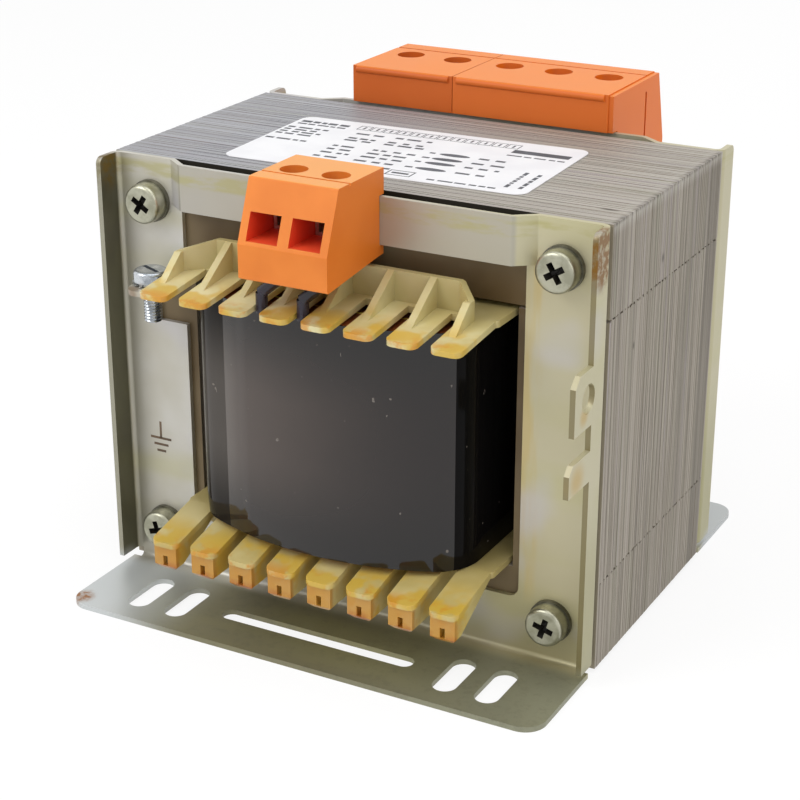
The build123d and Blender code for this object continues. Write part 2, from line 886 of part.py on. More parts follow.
def terminal_housing(size):
    """A housing that hooks over and under the bar, with its wire entries and screw holes."""
    low_x = size.centre_x - size.width / 2
    high_x = size.centre_x + size.width / 2
    lip_back = size.back + size.back_lip
    hook_back = size.back + size.hook_reach
    lip_low = core_top + housing_clearance
    hook_top = bar_bottom - housing_clearance
    hook_low = size.back_bottom
    points = [(lip_back, size.top), (size.top_front, size.top), (size.front, size.ledge),
              (size.front, size.front_bottom), (size.back, hook_low), (hook_back, hook_low),
              (hook_back, hook_top), (size.back, hook_top), (size.back, lip_low), (lip_back, lip_low)]
    body = prism_x(points, low_x, high_x)
    edges = edges_near(body, Axis.X, [(size.top_front, size.top), (size.front, size.ledge),
                                      (size.front, size.front_bottom)], "Y", "Z")
    body = fillet(edges, size.edge_radius)
    groove = size.top_front + size.groove_from_front
    body = body - block((low_x - overrun, high_x + overrun), (groove, groove + size.groove_width),
                        (size.top - size.groove_depth, size.top + overrun))
    for x in size.pole_places:
        half = size.entry_width / 2
        entry = block((x - half, x + half), (size.front - overrun, size.back - size.entry_back_wall),
                      (size.entry_low, size.entry_low + size.entry_height))
        driver = rod_z(x, size.screw_y, size.screw_hole_diameter, size.entry_low + size.entry_height / 2,
                       size.top + overrun)
        y = lead_y()
        under = size.underside_at(y)
        seat = rod_z(x, y, lead_diameter + 2 * lead_clearance, under - overrun, under + lead_seat_depth)
        body = body - [entry, driver, seat]
    return body


def rear_housing(size):
    """A larger housing, with the bead on its inner lip."""
    radius = bead_diameter / 2
    y = size.back + size.back_lip + bead_proud - radius
    place = Pos(size.centre_x, y, size.top - radius) * Rot(0, 90, 0)
    return terminal_housing(size) + place * Cylinder(radius, size.width - 2 * bead_end_gap)


def end_plate(size):
    """The plate that closes the end of the row of poles, a little smaller and with a groove down it."""
    high_x = size.centre_x - size.width / 2
    low_x = high_x - end_plate_thickness
    top = size.top - end_plate_inset
    front = size.front + end_plate_inset
    back = size.back - end_plate_inset
    lip_back = size.back + size.back_lip - end_plate_inset
    lip_low = core_top + housing_clearance
    points = [(lip_back, top), (size.top_front, top), (front, size.ledge),
              (front, size.front_bottom + end_plate_inset), (back, size.back_bottom + end_plate_inset),
              (back, lip_low), (lip_back, lip_low)]
    groove_y = size.back - end_groove_from_back
    groove = block((low_x - overrun, low_x + end_groove_depth), (groove_y - end_groove_width, groove_y),
                   (size.front_bottom - overrun, size.top - end_groove_below_top))
    return prism_x(points, low_x, high_x) - groove


def terminal_clamps(size):
    """A box clamp in each wire entry, tapped for its screw."""
    half = size.entry_width / 2 - size.clamp_clearance
    low = size.entry_low
    high = low + size.entry_height - size.clamp_clearance
    front = size.screw_y - size.clamp_depth / 2
    rear = size.screw_y + size.clamp_depth / 2
    wall = size.clamp_wall
    made = []
    for x in size.pole_places:
        clamp = block((x - half, x + half), (front, rear), (low, high))
        clamp = clamp - block((x - half + wall, x + half - wall), (front - overrun, rear + overrun),
                              (low + wall, high - wall))
        bore = rod_z(x, size.screw_y, size.screw_diameter + 2 * thread_clearance, high - wall - overrun / 2,
                     high + overrun)
        made.append(clamp - bore)
    return Compound(children=made)


def terminal_screws(size):
    """A slotted screw in each clamp, below the top of the housing."""
    head_top = size.top - size.screw_head_below_top
    head_low = head_top - size.screw_head_height
    clamp_top = size.entry_low + size.entry_height - size.clamp_clearance
    shank_low = clamp_top - 2 * size.clamp_wall
    made = []
    for x in size.pole_places:
        head = rod_z(x, size.screw_y, size.screw_head_diameter, head_low, head_top)
        half = size.screw_head_diameter / 2 + overrun
        slot = block((x - half, x + half),
                     (size.screw_y - size.screw_slot_width / 2, size.screw_y + size.screw_slot_width / 2),
                     (head_top - size.screw_slot_depth, head_top + overrun))
        shank = rod_z(x, size.screw_y, size.screw_diameter, shank_low, head_low)
        made.append(head - slot + shank)
    return Compound(children=made)


def leads(size, gap_places):
    """Sleeved leads from the coil's top, up through the comb and into the housing."""
    made = []
    y = lead_y()
    under = size.underside_at(y)
    rise = under - bobbin_high
    low_bend = bobbin_high + rise * lead_low_bend_share
    high_bend = bobbin_high + rise * lead_high_bend_share
    top = under + lead_seat_depth - lead_clearance
    for pole, gap in zip(size.pole_places, gap_places):
        points = [(gap, y, winding_high), (gap, y, low_bend), (pole, y, high_bend), (pole, y, top)]
        path = Polyline(points)
        profile = Plane(points[0], z_dir=(0, 0, 1)) * Circle(lead_diameter / 2)
        made.append(sweep(profile, path=path, transition=Transition.ROUND))
    return Compound(children=made)


def nearest_gaps(size):
    """The gap between two fingers that is nearest to each pole."""
    first = -(finger_count / 2) * finger_pitch
    gaps = [first + index * finger_pitch for index in range(finger_count + 1)]
    return [min(gaps[1:-1], key=lambda gap: abs(gap - pole)) for pole in size.pole_places]


def label():
    """The adhesive label, a little askew on the core's top."""
    plate = rounded_box(label_length / 2, label_width / 2, 0, label_thickness, label_corner_radius)
    return Pos(label_x, label_y, core_top) * Rot(0, 0, label_turn_degrees) * plate


def transformer():
    """Every piece by name."""
    frame = pressed_frame()
    rear_left, rear_right = rear_terminals()
    pieces = {
        "e_laminations_up": e_laminations_up(),
        "e_laminations_down": e_laminations_down(),
        "i_laminations_top": i_laminations_top(),
        "i_laminations_bottom": i_laminations_bottom(),
        "front_frame": frame,
        "rear_frame": turned(frame),
        "core_screws": core_screws(),
        "front_washers": front_washers(),
        "rear_washers": rear_washers(),
        "core_nuts": core_nuts(),
        "earth_screw": earth_screw(),
        "earth_washer": earth_washer(),
        "bobbin": bobbin(),
        "primary_winding": primary_winding(),
        "winding_insulation": winding_insulation(),
        "secondary_winding": secondary_winding(),
        "outer_wrap": outer_wrap(),
        "front_terminal_housing": terminal_housing(front_terminal),
        "front_terminal_clamps": terminal_clamps(front_terminal),
        "front_terminal_screws": terminal_screws(front_terminal),
        "front_leads": leads(front_terminal, nearest_gaps(front_terminal)),
        "label": label(),
    }
    for side, size in (("left", rear_left), ("right", rear_right)):
        pieces["rear_" + side + "_terminal_housing"] = turned(rear_housing(size))
        pieces["rear_" + side + "_terminal_clamps"] = turned(terminal_clamps(size))
        pieces["rear_" + side + "_terminal_screws"] = turned(terminal_screws(size))
        pieces["rear_" + side + "_leads"] = turned(leads(size, nearest_gaps(size)))
    pieces["rear_terminal_end_plate"] = turned(end_plate(rear_right))
    return pieces


os.makedirs("parts", exist_ok=True)
for node, shape in transformer().items():
    export_step(shape, "parts/" + node + ".step")
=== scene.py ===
"""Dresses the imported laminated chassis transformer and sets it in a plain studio."""
import json
import math
import random

import bpy
from mathutils import Matrix, Vector
from mathutils.geometry import tessellate_polygon


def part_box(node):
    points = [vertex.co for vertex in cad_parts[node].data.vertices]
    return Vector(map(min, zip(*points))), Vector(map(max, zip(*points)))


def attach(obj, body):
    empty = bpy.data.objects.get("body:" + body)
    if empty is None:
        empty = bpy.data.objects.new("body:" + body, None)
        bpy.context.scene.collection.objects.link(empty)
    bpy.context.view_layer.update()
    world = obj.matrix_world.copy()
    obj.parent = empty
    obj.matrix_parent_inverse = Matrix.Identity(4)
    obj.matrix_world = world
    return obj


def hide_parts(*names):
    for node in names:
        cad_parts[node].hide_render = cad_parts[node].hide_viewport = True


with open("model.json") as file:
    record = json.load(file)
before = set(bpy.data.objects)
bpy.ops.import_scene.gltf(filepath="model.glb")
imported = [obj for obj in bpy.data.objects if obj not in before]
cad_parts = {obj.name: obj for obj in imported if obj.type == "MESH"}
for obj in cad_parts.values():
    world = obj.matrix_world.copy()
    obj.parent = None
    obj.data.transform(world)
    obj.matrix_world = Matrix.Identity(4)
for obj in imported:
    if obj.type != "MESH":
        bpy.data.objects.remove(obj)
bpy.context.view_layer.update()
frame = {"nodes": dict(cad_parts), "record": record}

MM = 0.001
nodes = frame["nodes"]
draw = random.Random(7)

# Camera, found by matching the object's edges in the photograph
camera_azimuth = math.radians(28.385)
camera_elevation = math.radians(22.334)
camera_distance = 453.3 * MM
camera_target = Vector((-4.79, 0.0, 40.0)) * MM
camera_lens = 86.22
camera_sensor = 36.0
camera_clip = (0.01, 20.0)

# Studio; each lamp has a name, azimuth, elevation, distance and size in metres, and watts
lamps = (("key", -36, 38, 1.1, 0.6, 4.1), ("fill", 62, 26, 1.0, 0.7, 1.4),
         ("top", 55, 76, 1.0, 0.7, 2.7), ("back", 170, 34, 1.1, 0.6, 0.8))
ambient_strength = 0.6
floor_half = 3.0
floor_tone = 0.9
floor_glow = 1.04
floor_glow_share = 0.8

# Core sheets
sheet_pitch = 0.5 * MM
sheet_gap = 0.02 * MM
sheet_side_play = 0.08 * MM
packet_most = 3
seam_least = 0.18 * MM
seam_most = 0.65 * MM
leg_width = 20 * MM
centre_leg_half = 20 * MM
bolt_hole_radius = 2.8 * MM
hole_steps = 14
yoke_margin = 1 * MM

# Screws
head_radius = 4.5 * MM
head_height = 3.6 * MM
head_rim = 1.0 * MM
head_rim_steps = 8
seat_inset = 0.02 * MM
recess_arm = 2.35 * MM
recess_half_width = 0.68 * MM
recess_depth = 2.1 * MM
recess_taper = 0.72
recess_point_share = 1.15
recess_floor_share = 1.2
recess_turns = (17, 58, 74, 31)
core_thread_radius = 2.5 * MM
core_thread_pitch = 0.8 * MM
core_thread_length = 10 * MM
thread_depth_share = 0.14
thread_steps = 20
thread_rows_to_a_turn = 4
thread_end_share = 0.8
shank_share = 0.98
earth_head_radius = 3.9 * MM
earth_head_height = 2.6 * MM
earth_head_rim = 0.9 * MM
earth_slot_half = 0.5 * MM
earth_slot_depth = 1.2 * MM
earth_slot_turn = math.radians(-24)
earth_slot_inset = 0.12 * MM
earth_slot_taper = 0.94
earth_neck = 0.4 * MM
earth_thread_radius = 2.0 * MM
earth_thread_pitch = 0.7 * MM
lock_washer_teeth = 16
lock_washer_root = 3.35 * MM
lock_washer_bore = 2.1 * MM
lock_washer_ring_share = 0.5
tooth_width_share = 0.62
tooth_half_thickness = 0.32
tooth_root = (0.15 * MM, 0.3366)
tooth_tip = (0.14 * MM, 0.37944)
round_steps = 48
screw_smooth_angle = 28

# Prints, as thin layers of ink
ink = 0.02 * MM
label_middle = Vector((-1.0, -3.6)) * MM
label_turn = math.radians(2.0)
earth_sign_x = -50.8 * MM
earth_sign_line = (33.2, 37.4)
earth_sign_bars = ((33.2, 2.9), (31.6, 2.0), (30.0, 1.25))
earth_sign_stroke = 0.6
oval_steps = 16

# Wire entries of the front housing, where painted red light shines through the plastic, from its lowest
# and foremost places
entry_margin = 1.3 * MM
entry_low = 8.1 * MM
entry_high = 14.1 * MM
entry_start = 0.9 * MM

# Edges of moulded and pressed pieces
frame_edge = 0.14 * MM
moulding_edge = 0.22 * MM
bobbin_edge = 0.16 * MM
edge_segments = 2
edge_angle = 32
edge_weld = 0.002 * MM

# Coil wrap
side_of_wrap = 31.6 * MM
wrap_columns = 240
wrap_rows = 26
wrap_thickness = 0.5 * MM
wrap_step = 0.18 * MM
wrap_bow = 8.8 * MM
wrap_corner_radius = 11.0 * MM
wrap_seam_x = -17.5 * MM
wrap_overlap = 5.2 * MM
wrap_wave = 0.16 * MM
wrap_waves = ((0.19, 2.1, 0.0), (0.075, -4.4, 1.3))
wrap_rim = 0.25 * MM
wrap_smooth_angle = 35
coil_plan_steps = 60

# Marks on the core: places in metres, and radii
rear_band = (0.0245, 0.0305)
side_nicks = (((0.06, -0.0029, 0.0862), 0.001), ((0.06, -0.0176, 0.0713), 0.0008))
top_scratch = (0.0551, -0.0222, 0.1011)

# Stains on the front frame: place, inner and outer radius, stretch upwards, and colour
plate_stains = (((0.0598, -0.0362, 0.0960), 0.0024, 0.0054, 0.62, (122, 84, 16)),
                ((-0.0590, -0.0362, 0.0990), 0.0008, 0.0045, 0.6, (104, 84, 34)),
                ((-0.0578, -0.0572, 0.0012), 0.0008, 0.0040, 1.0, (150, 104, 64)))
hook_amber = (((0.0595, -0.0455, 0.0515), 0.0052), ((0.0595, -0.0430, 0.0645), 0.003))
# the place of a painted brown reflection on the end of the earth tab
tab_end_reflection = (-0.0475, -0.0462, 0.0738)
hair = 0.1 * MM

# Looks of small parts: name, light and dark colour, and roughness
small_metals = (("plated_screws", (180, 179, 160), (150, 149, 130), 0.3),
                ("bright_zinc", (204, 208, 212), (150, 156, 162), 0.22),
                ("dark_washers", (120, 118, 106), (88, 86, 74), 0.38),
                ("clamp_metal", (216, 206, 196), (184, 170, 158), 0.3))
# the first film is a painted shade for the cross recesses of the screws
films = (("recess_painted_shade", (30, 26, 14), (18, 15, 8), 0.6),
         ("insulation_film", (214, 190, 90), (196, 168, 70), 0.4),
         ("lead_sleeve", (34, 26, 44), (18, 14, 24), 0.25),
         ("label_paper", (238, 238, 240), (232, 232, 235), 0.45),
         ("label_ink", (86, 88, 94), (66, 68, 74), 0.6),
         ("sign_ink", (112, 92, 72), (88, 72, 56), 0.6))

# Looks of the wrap: name, left and right colour, and specular level; the left colour of the first carries
# a painted reflection of the key lamp, and the second is a copy with painted shade for the wrap's sides
# and its left end
wraps = (("black_wrap", (76, 66, 60), (26, 18, 16), 0.52),
         ("shaded_wrap", (10, 9, 11), (12, 12, 12), 0.06))


def bounds_of(*names):
    """The lowest and highest corner of some nodes together."""
    lows, highs = zip(*(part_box(name) for name in names))
    low = Vector([min(corner[i] for corner in lows) for i in range(3)])
    high = Vector([max(corner[i] for corner in highs) for i in range(3)])
    return low, high


core_low, core_high = bounds_of("e_laminations_up", "e_laminations_down", "i_laminations_top")
wrap_low, wrap_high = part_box("outer_wrap")


# Camera and studio

def look_from(azimuth, elevation, distance, target):
    """A place at some distance from a target; azimuth 0 is in front, and 90 degrees is at the right."""
    across = math.cos(elevation)
    away = Vector((math.sin(azimuth) * across, -math.cos(azimuth) * across, math.sin(elevation)))
    return target + away * distance


def make_camera():
    data = bpy.data.cameras.new("camera")
    data.lens = camera_lens
    data.sensor_width = camera_sensor
    data.clip_start, data.clip_end = camera_clip
    camera = bpy.data.objects.new("camera", data)
    bpy.context.scene.collection.objects.link(camera)
    camera.location = look_from(camera_azimuth, camera_elevation, camera_distance, camera_target)
    camera.rotation_euler = (camera_target - camera.location).to_track_quat("-Z", "Y").to_euler()
    bpy.context.scene.camera = camera


def make_lamp(name, azimuth, elevation, distance, size, watts):
    """A square soft box that faces the object."""
    data = bpy.data.lights.new(name, "AREA")
    data.shape = "SQUARE"
    data.size = size
    data.energy = watts
    lamp = bpy.data.objects.new(name, data)
    bpy.context.scene.collection.objects.link(lamp)
    target = (core_low + core_high) / 2
    lamp.location = look_from(math.radians(azimuth), math.radians(elevation), distance, target)
    lamp.rotation_euler = (target - lamp.location).to_track_quat("-Z", "Y").to_euler()


def background_rays(tree):
    """One for the rays that see the background: from the camera, mirrored or passed through."""
    path = tree.nodes.new("ShaderNodeLightPath")
    share = path.outputs["Is Camera Ray"]
    for name in ("Is Glossy Ray", "Is Transmission Ray"):
        either = tree.nodes.new("ShaderNodeMath")
        either.operation = "MAXIMUM"
        tree.links.new(share, either.inputs[0])
        tree.links.new(path.outputs[name], either.inputs[1])
        share = either.outputs[0]
    return share


def make_world():
    """Even light from all sides, in front of white."""
    world = bpy.data.worlds.new("studio")
    bpy.context.scene.world = world
    world.use_nodes = True
    tree = world.node_tree
    tree.nodes.clear()
    ambient = tree.nodes.new("ShaderNodeBackground")
    ambient.inputs["Color"].default_value = (1.0, 1.0, 1.0, 1)
    ambient.inputs["Strength"].default_value = ambient_strength
    seen = tree.nodes.new("ShaderNodeBackground")
    seen.inputs["Color"].default_value = (1.0, 1.0, 1.0, 1)
    mix = tree.nodes.new("ShaderNodeMixShader")
    tree.links.new(background_rays(tree), mix.inputs[0])
    tree.links.new(ambient.outputs[0], mix.inputs[1])
    tree.links.new(seen.outputs[0], mix.inputs[2])
    output = tree.nodes.new("ShaderNodeOutputWorld")
    tree.links.new(mix.outputs[0], output.inputs[0])


def make_floor():
    """A white floor that keeps the shadow and runs out into the white behind."""
    mesh = bpy.data.meshes.new("floor")
    corners = [(x * floor_half, y * floor_half, 0) for x, y in ((-1, -1), (1, -1), (1, 1), (-1, 1))]
    mesh.from_pydata(corners, [], [(0, 1, 2, 3)])
    floor = bpy.data.objects.new("floor", mesh)
    bpy.context.scene.collection.objects.link(floor)
    material = bpy.data.materials.new("white_floor")
    material.use_nodes = True
    tree = material.node_tree
    tree.nodes.clear()
    matt = tree.nodes.new("ShaderNodeBsdfDiffuse")
    matt.inputs["Color"].default_value = (floor_tone, floor_tone, floor_tone, 1)
    glow = tree.nodes.new("ShaderNodeEmission")
    glow.inputs["Strength"].default_value = floor_glow
    share = tree.nodes.new("ShaderNodeMath")
    share.operation = "MULTIPLY"
    share.inputs[1].default_value = floor_glow_share
    tree.links.new(background_rays(tree), share.inputs[0])
    mix = tree.nodes.new("ShaderNodeMixShader")
    tree.links.new(share.outputs[0], mix.inputs[0])
    tree.links.new(matt.outputs[0], mix.inputs[1])
    tree.links.new(glow.outputs[0], mix.inputs[2])
    output = tree.nodes.new("ShaderNodeOutputMaterial")
    tree.links.new(mix.outputs[0], output.inputs[0])
    mesh.materials.append(material)


# Materials

def tone(red, green, blue):
    """A colour as it looks in a picture, 0 to 255, turned into the linear values of a shader."""
    def linear(value):
        share = value / 255
        return share / 12.92 if share <= 0.04045 else ((share + 0.055) / 1.055) ** 2.4
    return (linear(red), linear(green), linear(blue), 1)


class Surface:
    """A node material that is being put together around one principled shader.

    Places are in metres, in the object's own frame. A share runs from 0 to 1. Colours are outputs of
    nodes, or red, green and blue as they look in a picture.
    """

    def __init__(self, name, roughness, metallic=0.0, **constants):
        self.material = bpy.data.materials.new(name)
        self.material.use_nodes = True
        self.tree = self.material.node_tree
        self.shader = self.tree.nodes["Principled BSDF"]
        self.shader.inputs["Roughness"].default_value = roughness
        self.shader.inputs["Metallic"].default_value = metallic
        for socket, value in constants.items():
            self.shader.inputs[socket.replace("_", " ")].default_value = value
        self.place = self.tree.nodes.new("ShaderNodeTexCoord").outputs["Object"]
        self.skin = None

    def add(self, kind, **settings):
        node = self.tree.nodes.new(kind)
        for key, value in settings.items():
            setattr(node, key, value)
        return node

    def feed(self, value, socket):
        """Links an output to an input, or sets the input to a plain number or colour."""
        if isinstance(value, bpy.types.NodeSocket):
            self.tree.links.new(value, socket)
        else:
            socket.default_value = tone(*value) if isinstance(value, tuple) else value

    def math(self, operation, first, second=0.0, clamp=False):
        node = self.add("ShaderNodeMath", operation=operation, use_clamp=clamp)
        self.feed(first, node.inputs[0])
        self.feed(second, node.inputs[1])
        return node.outputs[0]

    def times(self, *shares):
        """The product of some shares."""
        product = shares[0]
        for share in shares[1:]:
            product = self.math("MULTIPLY", product, share)
        return product

    def rest(self, share):
        """What a share leaves of one."""
        return self.math("SUBTRACT", 1.0, share)

    def moved_by_piece(self, name, reach):
        """Object coordinates, moved along an axis by an amount of each piece's own."""
        shift = self.add("ShaderNodeCombineXYZ")
        own = self.add("ShaderNodeObjectInfo").outputs["Random"]
        self.feed(self.math("MULTIPLY", own, reach), shift.inputs[name])
        moved = self.add("ShaderNodeVectorMath", operation="ADD")
        self.feed(self.place, moved.inputs[0])
        self.feed(shift.outputs[0], moved.inputs[1])
        return moved.outputs[0]

    def stretched(self, scale):
        """Object coordinates, scaled on each axis."""
        node = self.add("ShaderNodeVectorMath", operation="MULTIPLY")
        self.feed(self.place, node.inputs[0])
        node.inputs[1].default_value = scale
        return node.outputs[0]

    def noise(self, scale, detail=3.0, rough=0.5, stretch=(1, 1, 1)):
        """Noise between about 0.3 and 0.7, with a scale in cells to the metre."""
        node = self.add("ShaderNodeTexNoise")
        self.feed(self.stretched(stretch), node.inputs["Vector"])
        node.inputs["Scale"].default_value = scale
        node.inputs["Detail"].default_value = detail
        node.inputs["Roughness"].default_value = rough
        return node.outputs["Fac"]

    def spread(self, value, low, high):
        """A value, stretched so that low becomes 0 and high becomes 1; either may be the larger."""
        node = self.add("ShaderNodeMapRange", interpolation_type="SMOOTHSTEP")
        self.feed(value, node.inputs["Value"])
        node.inputs["From Min"].default_value = low
        node.inputs["From Max"].default_value = high
        return node.outputs["Result"]

    def part_of(self, vector, name):
        node = self.add("ShaderNodeSeparateXYZ")
        self.feed(vector, node.inputs[0])
        return node.outputs[name]

    def axis(self, name):
        """A coordinate."""
        return self.part_of(self.place, name)

    def reach(self, name):
        """The distance from the middle along an axis."""
        return self.math("ABSOLUTE", self.axis(name))

    def normal(self, name):
        """How much the surface faces along an axis, from -1 to 1."""
        return self.part_of(self.add("ShaderNodeNewGeometry").outputs["Normal"], name)

    def facing(self, name):
        """One where the surface faces along an axis, either way."""
        return self.spread(self.math("ABSOLUTE", self.normal(name)), 0.6, 0.9)

    def ramp(self, name, low, high):
        """Zero up to one coordinate and one from another on."""
        return self.spread(self.axis(name), low, high)

    def between(self, name, low, high, soft):
        """One where a coordinate lies between two values, with soft ends."""
        return self.times(self.ramp(name, low - soft, low), self.ramp(name, high + soft, high))

    def spot(self, centre, inner, outer, stretch=(1, 1, 1)):
        """One near a point, falling to zero at the outer radius."""
        node = self.add("ShaderNodeVectorMath", operation="DISTANCE")
        self.feed(self.stretched(stretch), node.inputs[0])
        node.inputs[1].default_value = [c * s for c, s in zip(centre, stretch)]
        return self.spread(node.outputs["Value"], outer, inner)

    def mix(self, share, first, second):
        """A colour mixed from two."""
        node = self.add("ShaderNodeMix", data_type="RGBA")
        self.feed(share, node.inputs[0])
        self.feed(first, node.inputs[6])
        self.feed(second, node.inputs[7])
        return node.outputs[2]

    def tint(self, base, colour, *shares):
        """A base colour with another mixed in, by the product of some shares."""
        return self.mix(self.times(*shares), base, colour)

    def lay(self, colour, *shares):
        """Lays a colour over the one that the surface has so far."""
        self.skin = self.tint(self.skin, colour, *shares)

    def clouds(self, cloud, first, second):
        """Two colours, mixed softly by a noise."""
        return self.mix(self.spread(cloud, 0.35, 0.65), first, second)

    def mix_value(self, share, first, second):
        """A number between two, by a share."""
        return self.math("ADD", self.math("MULTIPLY", share, second - first), first)

    def gloss(self, value, low, high):
        """Roughness that varies between two values."""
        node = self.add("ShaderNodeMapRange")
        self.feed(value, node.inputs["Value"])
        node.inputs["To Min"].default_value = low
        node.inputs["To Max"].default_value = high
        self.feed(node.outputs["Result"], self.shader.inputs["Roughness"])

    def finish(self, height, strength, distance):
        """The material with its colour and its fine relief."""
        self.feed(self.skin, self.shader.inputs["Base Color"])
        node = self.add("ShaderNodeBump")
        node.inputs["Strength"].default_value = strength
        node.inputs["Distance"].default_value = distance
        self.feed(height, node.inputs["Height"])
        self.feed(node.outputs["Normal"], self.shader.inputs["Normal"])
        return self.material


def core_steel():
    """Sheet edges with fine lines along each sheet; the faces of the sheets are brown with varnish."""
    made = Surface("core_steel", roughness=0.5, metallic=0.2)
    true_place = made.place
    made.place = made.moved_by_piece("Y", 7.0)
    lines = made.noise(1.0, 4.0, 0.65, stretch=(12, 1900, 12))
    broad = made.spread(made.noise(1.0, 2.0, 0.5, stretch=(7, 330, 7)), 0.32, 0.68)
    hue = made.noise(1.0, 2.0, 0.5, stretch=(10, 700, 10))
    made.place = true_place
    cloud = made.noise(35.0, 3.0)
    reach = made.reach("X")

    # warm at the sides, paler on top, and cooler on top towards the left
    top = made.ramp("Z", 0.098, 0.1008)
    side_tone = made.mix(broad, (134, 126, 112), (160, 151, 138))
    top_tone = made.mix(broad, (162, 155, 145), (177, 171, 161))
    cool_tone = made.mix(broad, (152, 152, 157), (168, 169, 174))
    made.skin = made.mix(top, side_tone, top_tone)
    made.lay(cool_tone, made.ramp("X", 0.03, -0.04), top)

    # violet and green sheets, then dark and bright lines, weaker on top
    made.lay((140, 130, 136), made.spread(hue, 0.58, 0.7), 0.5)
    made.lay((138, 139, 116), made.spread(hue, 0.44, 0.3), 0.45)
    made.lay((80, 70, 56), made.spread(lines, 0.48, 0.36), made.mix_value(top, 0.72, 0.25))
    made.lay((192, 184, 170), made.spread(lines, 0.6, 0.7), made.mix_value(top, 0.5, 0.25))

    # darker sheets near the rear, nicks in the side, a serrated corner and a scratch
    made.lay((92, 84, 72), made.between("Y", *rear_band, 4 * hair), made.mix_value(top, 0.5, 0.0))
    for place, size in side_nicks:
        made.lay((58, 52, 40), made.spot(place, 0.0, size, stretch=(1, 1, 0.6)), 0.9)
    corner = made.times(made.ramp("Z", 0.1003, 0.1010), made.ramp("X", 0.0586, 0.0597))
    made.lay((70, 64, 54), corner, made.spread(lines, 0.56, 0.44), 0.75)
    made.lay((80, 74, 66), made.spot(top_scratch, 0.0006, 0.0030, stretch=(1, 4, 1)), 0.85)

    # the faces of the outer sheets: pale at their ends, and dark with painted shade behind the slot of
    # the frame's bar, where the gap lies in shadow
    face = made.clouds(cloud, (92, 74, 46), (122, 106, 78))
    face = made.tint(face, (150, 142, 126), made.spread(reach, 0.0565, 0.058))
    face = made.tint(face, (34, 30, 22), made.ramp("Z", 0.0965, 0.0985), made.spread(reach, 0.046, 0.044))
    made.lay(face, made.facing("Y"))
    made.gloss(cloud, 0.42, 0.6)
    return made.finish(lines, 0.3, 0.00012)


